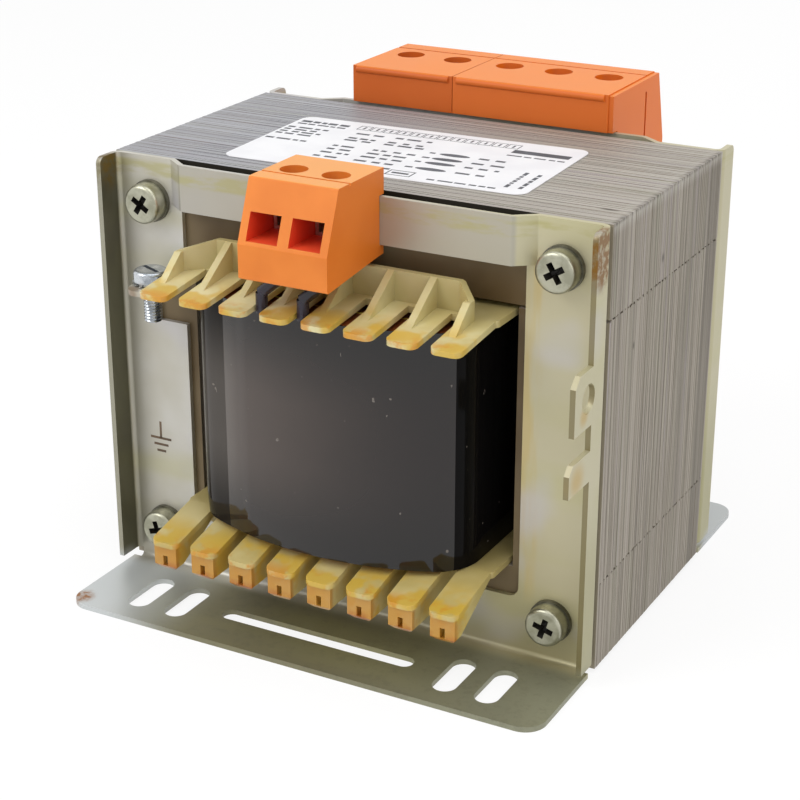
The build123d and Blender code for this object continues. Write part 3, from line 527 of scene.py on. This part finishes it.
def plated_sheet():
    """Zinc plate with pale yellow-green clouds, and brown where water dried at the corners."""
    made = Surface("plated_sheet", roughness=0.4, metallic=0.4)
    cloud = made.noise(22.0, 4.0, 0.6)
    bands = made.noise(1.0, 2.0, 0.5, stretch=(10, 40, 75))
    specks = made.noise(420.0, 4.0, 0.7)
    front = made.facing("Y")
    sides = made.facing("X")

    # clouds all over, with painted shade on the front beside the left flange, yellower towards the right
    # and low down there
    made.skin = made.clouds(cloud, (188, 184, 170), (208, 206, 200))
    made.lay((164, 160, 142), made.ramp("X", -0.0545, -0.0582), front, 0.6)
    yellow_side = made.ramp("X", -0.03, 0.05)
    made.lay((192, 184, 146), yellow_side, 0.7)
    made.lay((176, 166, 126), yellow_side, made.ramp("Z", 0.045, 0.015), 0.5)
    made.lay((182, 178, 126), made.spread(bands, 0.5, 0.7), 0.42)

    # brown streaks beside the window, lilac patches, a duller top bar with yellow smears
    beside_window = made.between("Z", 0.02, 0.088, 0.008)
    near_window = made.between("X", 0.0425, 0.0445, 0.0022)
    streaks = made.spread(made.noise(1.0, 3.0, stretch=(260, 40, 30)), 0.36, 0.6)
    made.lay((196, 172, 104), beside_window, near_window, streaks, 0.6)
    made.lay((192, 190, 200), made.spread(made.noise(40.0, 2.0), 0.56, 0.7), 0.45)
    top_bar = made.times(made.ramp("Y", -0.0352, -0.0358), made.ramp("Z", 0.088, 0.09))
    made.lay((170, 166, 154), top_bar, 0.8)
    smears = made.spread(made.noise(1.0, 4.0, 0.6, stretch=(70, 40, 300)), 0.42, 0.62)
    made.lay((172, 166, 104), made.between("Z", 0.0972, 0.0996, 0.001), smears, 0.6)

    # the right flange low down, small specks, and both flanges
    low_flange = made.times(made.ramp("Z", 0.05, 0.02), made.ramp("X", 0.057, 0.0595))
    made.lay((152, 149, 108), low_flange, 0.7)
    made.lay((128, 120, 96), made.spread(specks, 0.72, 0.78), 0.5)
    made.lay((176, 170, 138), sides, 0.35)

    # the left flange's inner face is dark with painted shade; the front edges of the flanges are cut and
    # dull
    left_inner_shade = made.times(sides, made.ramp("Y", -0.0332, -0.0337), made.ramp("X", -0.0580, -0.0585),
                            made.ramp("X", -0.05995, -0.0599))
    inner_shade_tone = made.mix(made.spread(cloud, 0.4, 0.6), (92, 90, 66), (70, 68, 50))
    made.lay(inner_shade_tone, left_inner_shade, 0.92)
    edge_tone = made.mix(made.ramp("X", -0.01, 0.01), (150, 148, 130), (112, 100, 62))
    rims = made.spread(made.reach("X"), 0.0584, 0.0588)
    made.lay(edge_tone, front, made.ramp("Y", -0.036, -0.037), rims, 0.8)

    # the feet are olive, and pale at the front left, where a painted reflection lies, and at the rear
    # right
    olive_and_reflection = made.mix(made.spread(bands, 0.4, 0.62), (128, 124, 98), (146, 141, 100))
    olive_and_reflection = made.tint(olive_and_reflection, (142, 142, 120), made.ramp("X", 0.0, 0.05))
    olive_and_reflection = made.tint(olive_and_reflection, (98, 95, 78), made.spread(specks, 0.5, 0.66), 0.2)
    olive_and_reflection = made.tint(olive_and_reflection, (186, 190, 190), made.ramp("Y", 0.03, 0.04), made.ramp("X", 0.04, 0.052))
    # painted reflection of a lamp on the foot at the front left
    olive_and_reflection = made.tint(olive_and_reflection, (202, 206, 206), made.ramp("X", -0.026, -0.052))
    made.lay(olive_and_reflection, made.ramp("Z", 0.006, 0.0015), made.spread(made.reach("Y"), 0.033, 0.038))

    # brown stains with rough edges, amber on the hooks, and a painted brown reflection on the end of the
    # earth tab
    rough_edge = made.math("ADD", made.spread(made.noise(620.0, 4.0, 0.6), 0.36, 0.6), 0.3)
    for place, inner, outer, upright, shade in plate_stains:
        stain = made.spot(place, inner, outer, stretch=(1, 1, upright))
        made.lay(shade, made.math("MULTIPLY", stain, rough_edge, clamp=True))
    for place, size in hook_amber:
        made.lay((180, 144, 52), made.spot(place, 0.0006, size), 0.6)
    made.lay((126, 98, 70), made.spot(tab_end_reflection, 0.0014, 0.0034), 0.7)
    made.gloss(cloud, 0.32, 0.5)
    return made.finish(made.noise(900.0, 3.0, 0.6), 0.12, 0.00006)


def bobbin_nylon():
    """Cream moulding, yellow and amber where varnish ran to the ends of the fingers."""
    made = Surface("bobbin_nylon", roughness=0.36, Subsurface_Weight=0.12, Subsurface_Scale=0.0012,
                   Subsurface_Radius=(0.9, 0.8, 0.4), IOR=1.5)
    cloud = made.noise(70.0, 3.0)
    blotch = made.noise(190.0, 4.0, 0.6)
    reach = made.reach("Y")
    low_tone = made.clouds(cloud, (190, 170, 104), (208, 192, 134))
    high_tone = made.clouds(cloud, (198, 184, 126), (218, 208, 160))
    made.skin = made.mix(made.ramp("Z", 0.04, 0.06), low_tone, high_tone)
    made.lay((168, 152, 98), made.spread(reach, 0.047, 0.037), 0.6)

    # yellow patches on the fingers, amber ones at their tips
    patches = made.spread(made.noise(170.0, 2.0), 0.42, 0.58)
    made.lay((206, 168, 48), patches, made.spread(reach, 0.0435, 0.0515), 0.78)
    made.lay((206, 138, 26), made.spread(reach, 0.0508, 0.0556), made.spread(blotch, 0.46, 0.58), 0.75)

    # the end blocks under the lower fingers, with brown drips at their foot
    ends = made.times(made.spread(reach, 0.0534, 0.0546), made.ramp("Z", 0.0188, 0.0178))
    made.lay((190, 136, 52), ends, 0.85)
    made.lay((168, 88, 22), ends, made.ramp("Z", 0.0155, 0.0132), made.spread(blotch, 0.38, 0.56), 0.85)
    made.gloss(blotch, 0.26, 0.44)
    return made.finish(blotch, 0.15, 0.0002)


def orange_plastic():
    """Orange moulding with a satin face, paler on top by a painted highlight, with painted shade on its
    right faces, and red inside the front wire entries by painted light that shines through the plastic.
    """
    made = Surface("orange_plastic", roughness=0.44, Subsurface_Weight=0.08, Subsurface_Scale=0.001,
                   Subsurface_Radius=(1.0, 0.5, 0.15), IOR=1.45, Specular_IOR_Level=0.35)
    cloud = made.noise(60.0, 3.0)
    level = made.spread(made.normal("Z"), 0.7, 0.95)
    side = made.spread(made.normal("X"), 0.6, 0.9)
    behind = made.ramp("Y", 0.03, 0.031)
    made.skin = made.clouds(cloud, (220, 122, 44), (230, 132, 52))
    # painted highlight: the faces that look up are paler, more so behind
    made.lay(made.mix(behind, (238, 168, 90), (238, 136, 48)), level, 0.8)
    # painted shade on the faces that look to the right
    made.lay((222, 112, 30), side, 0.5)

    # the walls of the rear left housing are redder, and those of the rear right one fuller orange
    left_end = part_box("rear_left_terminal_housing")[1].x
    walls = made.times(behind, made.rest(level))
    made.lay((196, 86, 28), walls, made.ramp("X", left_end + hair, left_end), 0.75)
    right_tone = made.mix(side, (214, 104, 38), (236, 116, 20))
    made.lay(right_tone, walls, made.ramp("X", left_end, left_end + hair), 0.85)

    # painted red light that shines through the plastic inside the front wire entries
    low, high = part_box("front_terminal_housing")
    entry_red_light = made.times(made.between("X", low.x + entry_margin, high.x - entry_margin, 2 * hair),
                        made.between("Y", low.y + entry_start, high.y - entry_margin, 6 * hair),
                        made.between("Z", low.z + entry_low, low.z + entry_high, 2 * hair),
                        made.rest(made.facing("Y")))
    made.lay((226, 60, 38), entry_red_light, 0.9)
    made.gloss(cloud, 0.38, 0.48)
    return made.finish(made.noise(2600.0, 2.0), 0.08, 0.00004)


def black_wrap(name, left, right, gloss):
    """Glossy black film with dust, greyer towards the left by a painted reflection of the key lamp, and
    darker at its foot and top by painted shade and dark reflections of the bobbin's fingers.
    """
    made = Surface(name, roughness=0.16, Specular_IOR_Level=gloss)
    cloud = made.noise(45.0, 3.0)
    # a painted reflection of the key lamp makes the film greyer towards the left
    made.skin = made.mix(made.ramp("X", -0.024, 0.03), left, right)
    made.lay((24, 20, 22), made.spread(cloud, 0.35, 0.65), 0.15)
    made.lay((112, 106, 100), made.ramp("X", -0.016, -0.0225), 0.5)
    # painted shade and dark reflections of the bobbin's fingers at the film's foot and top
    for start, end in ((0.045, 0.024), (0.056, 0.076)):
        made.lay((14, 12, 12), made.ramp("Z", start, end), 0.85)
    dust = made.math("MAXIMUM", made.spread(made.noise(1100.0, 2.0, 0.7), 0.76, 0.79),
                     made.spread(made.noise(420.0, 2.0, 0.6), 0.735, 0.75))
    made.lay((136, 128, 120), dust, 0.6)
    made.gloss(cloud, 0.05, 0.11)
    return made.finish(made.noise(1.0, 3.0, stretch=(160, 160, 35)), 0.08, 0.0006)


def bright_metal(name, light, dark, roughness):
    """Plated metal of small parts."""
    made = Surface(name, roughness=roughness, metallic=0.85)
    cloud = made.noise(260.0, 4.0, 0.6)
    made.skin = made.clouds(cloud, dark, light)
    made.gloss(cloud, roughness - 0.06, roughness + 0.1)
    return made.finish(made.noise(2400.0, 3.0), 0.1, 0.00003)


def copper_wire():
    """Turns of enamelled wire."""
    made = Surface("copper_wire", roughness=0.3, metallic=0.7)
    turns = made.add("ShaderNodeTexWave", bands_direction="Z")
    made.feed(made.place, turns.inputs["Vector"])
    turns.inputs["Scale"].default_value = 420.0
    turns.inputs["Distortion"].default_value = 0.6
    made.skin = made.mix(turns.outputs["Fac"], (110, 52, 24), (196, 112, 62))
    made.gloss(made.noise(200.0, 2.0), 0.24, 0.4)
    return made.finish(turns.outputs["Fac"], 0.5, 0.0003)


def plain_film(name, light, dark, roughness):
    """A lightly clouded film, sleeve or paper."""
    made = Surface(name, roughness=roughness)
    cloud = made.noise(120.0, 3.0)
    made.skin = made.clouds(cloud, dark, light)
    made.gloss(cloud, roughness - 0.06, roughness + 0.08)
    return made.finish(made.noise(1800.0, 3.0), 0.06, 0.00004)


def make_materials():
    """Every material by the name of its slot in the record, and a few more for single pieces."""
    looks = {"core_steel": core_steel(), "plated_sheet": plated_sheet(), "bobbin_nylon": bobbin_nylon(),
             "orange_plastic": orange_plastic(), "copper_wire": copper_wire()}
    for make, rows in ((black_wrap, wraps), (bright_metal, small_metals), (plain_film, films)):
        for name, first, second, shine in rows:
            looks[name] = make(name, first, second, shine)
    return looks


def dress(thing, look):
    """Gives a piece or node one material."""
    thing.data.materials.clear()
    thing.data.materials.append(materials[look])


def dress_nodes():
    """Gives each carried-over node its material."""
    for part in frame["record"]["subparts"]:
        dress(nodes[part["node"]], part["material_slot"])
    for name in ("front_washers", "rear_washers"):
        dress(nodes[name], "dark_washers")


# Mesh helpers

def new_piece(name, vertices, faces, slot, *replaced, look=None):
    """A finished piece from its vertices and faces."""
    mesh = bpy.data.meshes.new(name)
    mesh.from_pydata([tuple(v) for v in vertices], [], faces)
    mesh.validate()
    piece = bpy.data.objects.new(name, mesh)
    bpy.context.scene.collection.objects.link(piece)
    dress(piece, look or slot)
    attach(piece, "root")
    if replaced:
        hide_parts(*replaced)
    return piece


def smooth(piece, degrees):
    """Smooth shading, kept sharp at the edges that turn further than an angle."""
    for polygon in piece.data.polygons:
        polygon.use_smooth = True
    piece.data.set_sharp_from_angle(angle=math.radians(degrees))


# Core sheets

def circle_points(x, z, radius, steps):
    return [(x + radius * math.cos(a), z + radius * math.sin(a))
            for a in (2 * math.pi * k / steps for k in range(steps))]


def flat_sheet(outline, holes):
    """One sheet with holes, as vertices and faces of unit thickness in y."""
    curve = bpy.data.curves.new("sheet_outline", "CURVE")
    curve.dimensions = "2D"
    curve.fill_mode = "BOTH"
    curve.extrude = 0.5
    for points in [outline] + holes:
        spline = curve.splines.new("POLY")
        spline.points.add(len(points) - 1)
        for point, (x, z) in zip(spline.points, points):
            point.co = (x, z, 0, 1)
        spline.use_cyclic_u = True
    thing = bpy.data.objects.new("sheet_outline", curve)
    mesh = bpy.data.meshes.new_from_object(thing)
    vertices = [(v.co.x, v.co.z, v.co.y) for v in mesh.vertices]
    faces = [tuple(p.vertices)[::-1] for p in mesh.polygons]
    bpy.data.objects.remove(thing)
    bpy.data.curves.remove(curve)
    bpy.data.meshes.remove(mesh)
    return vertices, faces


def core_outlines():
    """The E sheet with its yoke below, and the I sheet above it, with their bolt holes."""
    half = core_high.x
    low = core_low.z
    high = core_high.z
    seam = high - leg_width
    sill = low + leg_width
    inner = half - leg_width
    mid = centre_leg_half
    bolts = (leg_width / 2 - half, half - leg_width / 2)
    e_outline = [(-half, low), (half, low), (half, seam), (inner, seam), (inner, sill), (mid, sill),
                 (mid, seam), (-mid, seam), (-mid, sill), (-inner, sill), (-inner, seam), (-half, seam)]
    i_outline = [(-half, seam), (half, seam), (half, high), (-half, high)]
    e_holes = [circle_points(x, low + leg_width / 2, bolt_hole_radius, hole_steps) for x in bolts]
    i_holes = [circle_points(x, high - leg_width / 2, bolt_hole_radius, hole_steps) for x in bolts]
    return (e_outline, e_holes), (i_outline, i_holes)


def stack_sheets():
    """Single sheets in place of the packets: every second one is turned over."""
    e_shape, i_shape = core_outlines()
    shapes = {"e": flat_sheet(*e_shape), "i": flat_sheet(*i_shape)}
    middle = (core_low.z + core_high.z) / 2
    count = round((core_high.y - core_low.y) / sheet_pitch)
    batches = {name: ([], []) for name in ("e_up", "i_top", "e_down", "i_bottom")}
    over = False
    left_in_packet = draw.randint(1, packet_most)
    for index in range(count):
        y = core_low.y + (index + 0.5) * sheet_pitch
        if left_in_packet == 0:
            over = not over
            left_in_packet = draw.randint(1, packet_most)
        left_in_packet -= 1
        seam = draw.uniform(seam_least, seam_most)
        for letter, name in (("e", "e_down" if over else "e_up"), ("i", "i_bottom" if over else "i_top")):
            shift_x = draw.uniform(0, sheet_side_play)
            shift_z = draw.uniform(0, sheet_side_play)
            vertices, faces = batches[name]
            first = len(vertices)
            source_vertices, source_faces = shapes[letter]
            for x, side, z in source_vertices:
                if letter == "e" and z > core_high.z - leg_width - yoke_margin:
                    z -= seam
                across = x - math.copysign(shift_x, x)
                height = 2 * middle - z if over else z
                if height > core_high.z - yoke_margin:
                    height -= shift_z
                vertices.append((across, y + side * (sheet_pitch - sheet_gap), height))
            for face in source_faces:
                face = [first + v for v in face]
                faces.append(face[::-1] if over else face)
    for name, node in (("e_up", "e_laminations_up"), ("i_top", "i_laminations_top"),
                       ("e_down", "e_laminations_down"), ("i_bottom", "i_laminations_bottom")):
        new_piece("core_sheets_" + name, *batches[name], "core_steel", node)


# Coil wrap

def coil_plan(half_x, corner_y, middle_y, radius, count):
    """Points round the coil: flat sides, bowed ends and round corners, by equal steps of length."""
    bow = (half_x ** 2 + (middle_y - corner_y) ** 2) / (2 * (middle_y - corner_y))
    bow_centre = middle_y - bow
    reach = bow - radius
    round_x = half_x - radius
    round_y = bow_centre + math.sqrt(reach ** 2 - round_x ** 2)
    end_angle = math.atan2(round_y - bow_centre, round_x)
    quarter = []
    steps = coil_plan_steps
    for k in range(steps + 1):
        quarter.append((half_x, round_y * k / steps))
    for k in range(1, steps + 1):
        angle = end_angle * k / steps
        quarter.append((round_x + radius * math.cos(angle), round_y + radius * math.sin(angle)))
    for k in range(1, steps + 1):
        angle = end_angle + (math.pi / 2 - end_angle) * k / steps
        quarter.append((bow * math.cos(angle), bow_centre + bow * math.sin(angle)))
    loop = quarter + [(-x, y) for x, y in quarter[-2::-1]]
    loop = loop + [(x, -y) for x, y in loop[-2:0:-1]]
    lengths = [0.0]
    for a, b in zip(loop, loop[1:] + loop[:1]):
        lengths.append(lengths[-1] + math.dist(a, b))
    closed = loop + loop[:1]
    points = []
    index = 0
    for k in range(count):
        wanted = lengths[-1] * k / count
        while lengths[index + 1] < wanted:
            index += 1
        share = (wanted - lengths[index]) / (lengths[index + 1] - lengths[index])
        a = closed[index]
        b = closed[index + 1]
        points.append((a[0] + (b[0] - a[0]) * share, a[1] + (b[1] - a[1]) * share))
    return points


def make_wrap():
    """The film round the coil: a little wavy, with the step of its last turn at the front left."""
    half_x = wrap_high.x
    middle_y = wrap_high.y
    plan = coil_plan(half_x, middle_y - wrap_bow, middle_y, wrap_corner_radius, wrap_columns)
    normals = []
    for k in range(wrap_columns):
        before = Vector(plan[k - 1])
        after = Vector(plan[(k + 1) % wrap_columns])
        along = (after - before).normalized()
        normals.append(Vector((along.y, -along.x)))
    vertices = []
    for k in range(wrap_columns):
        x, y = plan[k]
        normal = normals[k]
        under_turn = wrap_step if y < 0 and x < wrap_seam_x else 0.0
        for row in range(wrap_rows + 1):
            up = row / wrap_rows
            z = wrap_low.z + (wrap_high.z - wrap_low.z) * up
            waves = [math.sin(k * across + up * along + late) for across, along, late in wrap_waves]
            wave = 0.5 + 0.25 * sum(waves)
            edge = max(0.0, 1 - min(up, 1 - up) * wrap_rows / 2)
            inward = wrap_wave * wave + under_turn + wrap_rim * edge
            outer = Vector((x, y)) - normal * inward
            vertices.append((outer.x, outer.y, z))
        for row in range(wrap_rows + 1):
            z = wrap_high.z - (wrap_high.z - wrap_low.z) * row / wrap_rows
            inner = Vector((x, y)) - normal * (wrap_thickness + wrap_step)
            vertices.append((inner.x, inner.y, z))
    ring = 2 * (wrap_rows + 1)
    faces = []
    for k in range(wrap_columns):
        here = k * ring
        there = ((k + 1) % wrap_columns) * ring
        for row in range(ring):
            after = (row + 1) % ring
            faces.append((here + row, there + row, there + after, here + after))
    piece = new_piece("coil_wrap", vertices, faces, "black_wrap", "outer_wrap")
    piece.data.materials.append(materials["shaded_wrap"])
    # the sides and the left end past the seam take the copy with painted shade
    for polygon in piece.data.polygons:
        x, y, z = polygon.center
        if abs(x) > side_of_wrap or (y < 0 and x < wrap_seam_x - wrap_overlap):
            polygon.material_index = 1
    smooth(piece, wrap_smooth_angle)


# Screws and washers

def add_part(batch, vertices, faces, place):
    """Adds vertices and faces to a batch, moved to a place."""
    first = len(batch[0])
    batch[0].extend(place @ Vector(v) for v in vertices)
    batch[1].extend([first + v for v in face] for face in faces)


def turned(profile):
    """A turned part about z from radius and height pairs, from the top down."""
    vertices = []
    faces = []
    for radius, z in profile:
        for k in range(round_steps):
            angle = 2 * math.pi * k / round_steps
            vertices.append((radius * math.cos(angle), radius * math.sin(angle), z))
    for row in range(len(profile) - 1):
        for k in range(round_steps):
            after = (k + 1) % round_steps
            top = row * round_steps
            low = top + round_steps
            faces.append((top + k, low + k, low + after, top + after))
    return vertices, faces


def recessed_face(radius, z, outline, depth, taper):
    """The flat top of a head with a recess that narrows downwards."""
    rim = [(x, y, z) for x, y in circle_points(0, 0, radius, round_steps)]
    edge = [(x, y, z) for x, y in outline]
    floor = [(x * taper, y * taper, z - depth) for x, y in outline]
    vertices = rim + edge + floor + [(0, 0, z - depth * recess_point_share)]
    faces = []
    for face in tessellate_polygon([[Vector(v) for v in rim], [Vector(v) for v in edge]]):
        a, b, c = (Vector(vertices[v]) for v in face)
        faces.append(tuple(face) if (b - a).cross(c - a).z > 0 else tuple(face)[::-1])
    first = len(rim)
    count = len(outline)
    for k in range(count):
        after = (k + 1) % count
        faces.append((first + k, first + after, first + count + after, first + count + k))
        faces.append((first + count + k, first + count + after, first + 2 * count))
    return vertices, faces


def thread(radius, pitch, z_high, z_low):
    """A threaded rod about z, closed at its lower end."""
    steps = thread_steps
    rows = round((z_high - z_low) / pitch * thread_rows_to_a_turn)
    vertices = []
    faces = []
    for row in range(rows + 1):
        z = z_high + (z_low - z_high) * row / rows
        for k in range(steps):
            turn = (z / pitch + k / steps) % 1.0
            depth = abs(turn - 0.5) * 2
            reach = radius * (1 - thread_depth_share * depth)
            if row == rows:
                reach = radius * thread_end_share
            angle = 2 * math.pi * k / steps
            vertices.append((reach * math.cos(angle), reach * math.sin(angle), z))
    for row in range(rows):
        for k in range(steps):
            after = (k + 1) % steps
            high = row * steps
            low = high + steps
            faces.append((high + k, low + k, low + after, high + after))
    last = rows * steps
    faces.append([last + k for k in range(steps)][::-1])
    return vertices, faces


def head_profile(radius, height, rim, z):
    """A head's rounded rim and wall, from its flat top down to the seat at z."""
    points = []
    for k in range(head_rim_steps + 1):
        angle = math.pi / 2 * k / head_rim_steps
        points.append((radius - rim + rim * math.sin(angle), z + height - rim + rim * math.cos(angle)))
    return points + [(radius - seat_inset, z)]


def turn_point(x, y, angle):
    return x * math.cos(angle) - y * math.sin(angle), x * math.sin(angle) + y * math.cos(angle)


def cross_outline(arm, half, turn):
    """The outline of a cross recess."""
    corners = ((arm, -half), (arm, half), (half, half))
    return [turn_point(x, y, turn + math.pi / 2 * k) for k in range(4) for x, y in corners]


def paint_recess_shade(piece, places, flat_y):
    """Gives the walls and floor of each cross recess a painted shade of their own."""
    piece.data.materials.append(materials["recess_painted_shade"])
    for polygon in piece.data.polygons:
        x, y, z = polygon.center
        deep = seat_inset < y - flat_y < recess_floor_share * recess_depth
        near = min(math.dist((x, z), place) for place in places) < recess_arm + hair
        if deep and near:
            polygon.material_index = 1


def make_core_screws():
    """Four long screws with rounded heads and cross recesses; their threads show behind the nuts."""
    low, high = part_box("core_screws")
    front = low.y
    seat = front + head_height
    rear = high.y
    batch = ([], [])
    places = [(x, z) for x in (low.x + head_radius, high.x - head_radius)
              for z in (low.z + head_radius, high.z - head_radius)]
    # z runs out of the head here; the front of the object is the head's side
    for (x, z), degrees in zip(places, recess_turns):
        place = Matrix.Translation((x, seat, z)) @ Matrix.Rotation(math.pi / 2, 4, "X")
        outline = cross_outline(recess_arm, recess_half_width, math.radians(degrees))
        face = recessed_face(head_radius - head_rim, head_height, outline, recess_depth, recess_taper)
        add_part(batch, *face, place)
        profile = head_profile(head_radius, head_height, head_rim, 0.0)
        end = seat - rear
        shank_end = end + core_thread_length
        profile += [(core_thread_radius * shank_share, z) for z in (0.0, shank_end)]
        add_part(batch, *turned(profile), place)
        add_part(batch, *thread(core_thread_radius, core_thread_pitch, shank_end, end), place)
    piece = new_piece("pan_head_screws", *batch, "plated_screws", "core_screws")
    paint_recess_shade(piece, places, front)
    smooth(piece, screw_smooth_angle)


def make_earth_screw():
    """The slotted screw of the earth tab, with its thread below."""
    low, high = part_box("earth_screw")
    seat = high.z - earth_head_height
    centre = Vector(((low.x + high.x) / 2, (low.y + high.y) / 2, seat))
    place = Matrix.Translation(centre)
    face_radius = earth_head_radius - earth_head_rim
    reach = face_radius - earth_slot_inset
    half = earth_slot_half
    corners = ((reach, -half), (reach, half), (-reach, half), (-reach, -half))
    outline = [turn_point(x, y, earth_slot_turn) for x, y in corners]
    face = recessed_face(face_radius, earth_head_height, outline, earth_slot_depth, earth_slot_taper)
    batch = ([], [])
    add_part(batch, *face, place)
    profile = head_profile(earth_head_radius, earth_head_height, earth_head_rim, 0.0)
    profile += [(earth_thread_radius * shank_share, z) for z in (0.0, -earth_neck)]
    add_part(batch, *turned(profile), place)
    add_part(batch, *thread(earth_thread_radius, earth_thread_pitch, -earth_neck, low.z - seat), place)
    piece = new_piece("slotted_earth_screw", *batch, "plated_screws", "earth_screw", look="bright_zinc")
    smooth(piece, screw_smooth_angle)


def make_lock_washer():
    """A flat ring with twisted teeth round it."""
    low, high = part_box("earth_washer")
    middle = (low + high) / 2
    half_height = (high.z - low.z) / 2
    outer = (high.x - low.x) / 2
    ring = half_height * lock_washer_ring_share
    root = lock_washer_root
    bore = lock_washer_bore
    batch = ([], [])
    profile = [(bore, ring), (root, ring), (root, -ring), (bore, -ring), (bore, ring)]
    add_part(batch, *turned(profile), Matrix.Translation(middle))
    half_width = math.pi * root / lock_washer_teeth * tooth_width_share
    corners = []
    for whole, (inset, twist) in ((root, tooth_root), (outer, tooth_tip)):
        for side in (-1, 1):
            for level in (-tooth_half_thickness, tooth_half_thickness):
                corners.append((whole - inset, side * half_width, half_height * (side * twist + level)))
    faces = [(0, 2, 3, 1), (4, 5, 7, 6), (0, 1, 5, 4), (2, 6, 7, 3), (1, 3, 7, 5), (0, 4, 6, 2)]
    for k in range(lock_washer_teeth):
        place = Matrix.Translation(middle) @ Matrix.Rotation(2 * math.pi * k / lock_washer_teeth, 4, "Z")
        add_part(batch, corners, faces, place)
    new_piece("toothed_washer", *batch, "plated_screws", "earth_washer", look="bright_zinc")


# Prints

def bar(u0, u1, v0, v1):
    return [(u0, v0), (u1, v0), (u1, v1), (u0, v1)]


def oval(u, v, half_u, half_v):
    return [(u + half_u * x, v + half_v * y) for x, y in circle_points(0, 0, 1, oval_steps)]


def box_lines(u0, u1, v0, v1, stroke):
    """The four strokes of an outlined box."""
    return [bar(u0, u1, v0, v0 + stroke), bar(u0, u1, v1 - stroke, v1), bar(u0, u0 + stroke, v0, v1),
            bar(u1 - stroke, u1, v0, v1)]


def short_bars(u0, u1, v, height, gap=0.9):
    """A row of short bars of random lengths, in place of small print."""
    marks = []
    u = u0
    while u < u1 - 0.8:
        length = min(draw.uniform(1.2, 3.6), u1 - u)
        marks.append(bar(u, u + length, v - height / 2, v + height / 2))
        u += length + gap * draw.uniform(0.6, 1.5)
    return marks


def ink_piece(name, marks, place, look):
    """Flat marks, each with its own thickness, as one piece."""
    batch = ([], [])
    for mark in marks:
        count = len(mark)
        vertices = [(u * MM, v * MM, 0.0) for u, v in mark] + [(u * MM, v * MM, ink) for u, v in mark]
        faces = [list(range(count))[::-1], list(range(count, 2 * count))]
        faces += [(k, (k + 1) % count, count + (k + 1) % count, count + k) for k in range(count)]
        add_part(batch, vertices, faces, place)
    new_piece(name, *batch, "label_paper", look=look)


def make_label_print():
    """Plain bars, boxes and ovals where the label is printed; they say nothing."""
    marks = []
    for k in range(12):
        u = -20.0 + 3.42 * k
        marks += box_lines(u, u + 3.1, 13.6, 17.0, 0.22)
        marks.append(bar(u + 1.3, u + 1.8, 14.4, 16.2))
    for v, height in ((15.2, 1.5), (13.0, 0.9)):
        marks += short_bars(-35.0, -22.5, v, height, 0.5)
    for v in (9.4, 7.4, 5.4, 3.4, -1.2):
        marks += short_bars(-35.5, -25.0, v, 1.0)
    for v in (10.2, 6.2, 4.2, -1.3, -4.2, -7.2, -10.6, -14.0):
        marks += short_bars(-18.0, -11.0, v, 1.05)
        marks += short_bars(-8.0, 2.5, v + 0.2, 1.05, 1.2)
    for v in (2.4, -1.6, -5.3, -10.1):
        marks.append(oval(10.5, v, 3.7, 1.05))
        marks += short_bars(4.4, 6.2, v, 0.9)
        marks += short_bars(16.4, 24.5, v, 1.05, 1.3)
    marks += box_lines(3.0, 9.0, -17.6, -13.8, 0.3)
    marks.append(bar(4.0, 8.0, -16.2, -15.2))
    marks.append(bar(20.5, 34.2, 10.4, 13.0))
    marks += short_bars(20.5, 34.2, 8.2, 0.7, 0.5)
    for u in (30.4, 33.6):
        v = -15.5
        while v < -3.5:
            length = draw.uniform(0.9, 2.4)
            marks.append(bar(u - 0.45, u + 0.45, v, v + length))
            v += length + 0.6
    marks += short_bars(13.0, 29.0, -17.3, 0.8, 0.6)
    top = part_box("label")[1].z
    place = Matrix.Translation((*label_middle, top)) @ Matrix.Rotation(label_turn, 4, "Z")
    ink_piece("label_marks", marks, place, "label_ink")


def make_earth_sign():
    """The sign for earth, stamped beside the screw of the earth tab."""
    half = earth_sign_stroke / 2
    marks = [bar(-half, half, *earth_sign_line)]
    for z, reach in earth_sign_bars:
        marks.append(bar(-reach, reach, z - half, z + half))
    # the plate's front is as far forward as the washers' backs
    plate_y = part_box("front_washers")[1].y
    place = Matrix.Translation((earth_sign_x, plate_y, 0)) @ Matrix.Rotation(math.pi / 2, 4, "X")
    ink_piece("earth_sign", marks, place, "sign_ink")


# Softer edges on pieces that keep their shape

def soften(name, width):
    """Small round edges by modifiers; the vertices of the node stay as they are."""
    node = nodes[name]
    weld = node.modifiers.new("weld", "WELD")
    weld.merge_threshold = edge_weld
    bevel = node.modifiers.new("bevel", "BEVEL")
    bevel.width = width
    bevel.segments = edge_segments
    bevel.limit_method = "ANGLE"
    bevel.angle_limit = math.radians(edge_angle)
    for polygon in node.data.polygons:
        polygon.use_smooth = True
    split = node.modifiers.new("normals", "WEIGHTED_NORMAL")
    split.keep_sharp = True


bpy.context.scene.view_settings.view_transform = "Standard"
make_camera()
make_world()
make_floor()
for lamp in lamps:
    make_lamp(*lamp)
materials = make_materials()
dress_nodes()
stack_sheets()
make_wrap()
make_core_screws()
make_earth_screw()
make_lock_washer()
make_label_print()
make_earth_sign()
for name in ("front_frame", "rear_frame"):
    soften(name, frame_edge)
for name in ("front_terminal_housing", "rear_left_terminal_housing", "rear_right_terminal_housing"):
    soften(name, moulding_edge)
soften("bobbin", bobbin_edge)
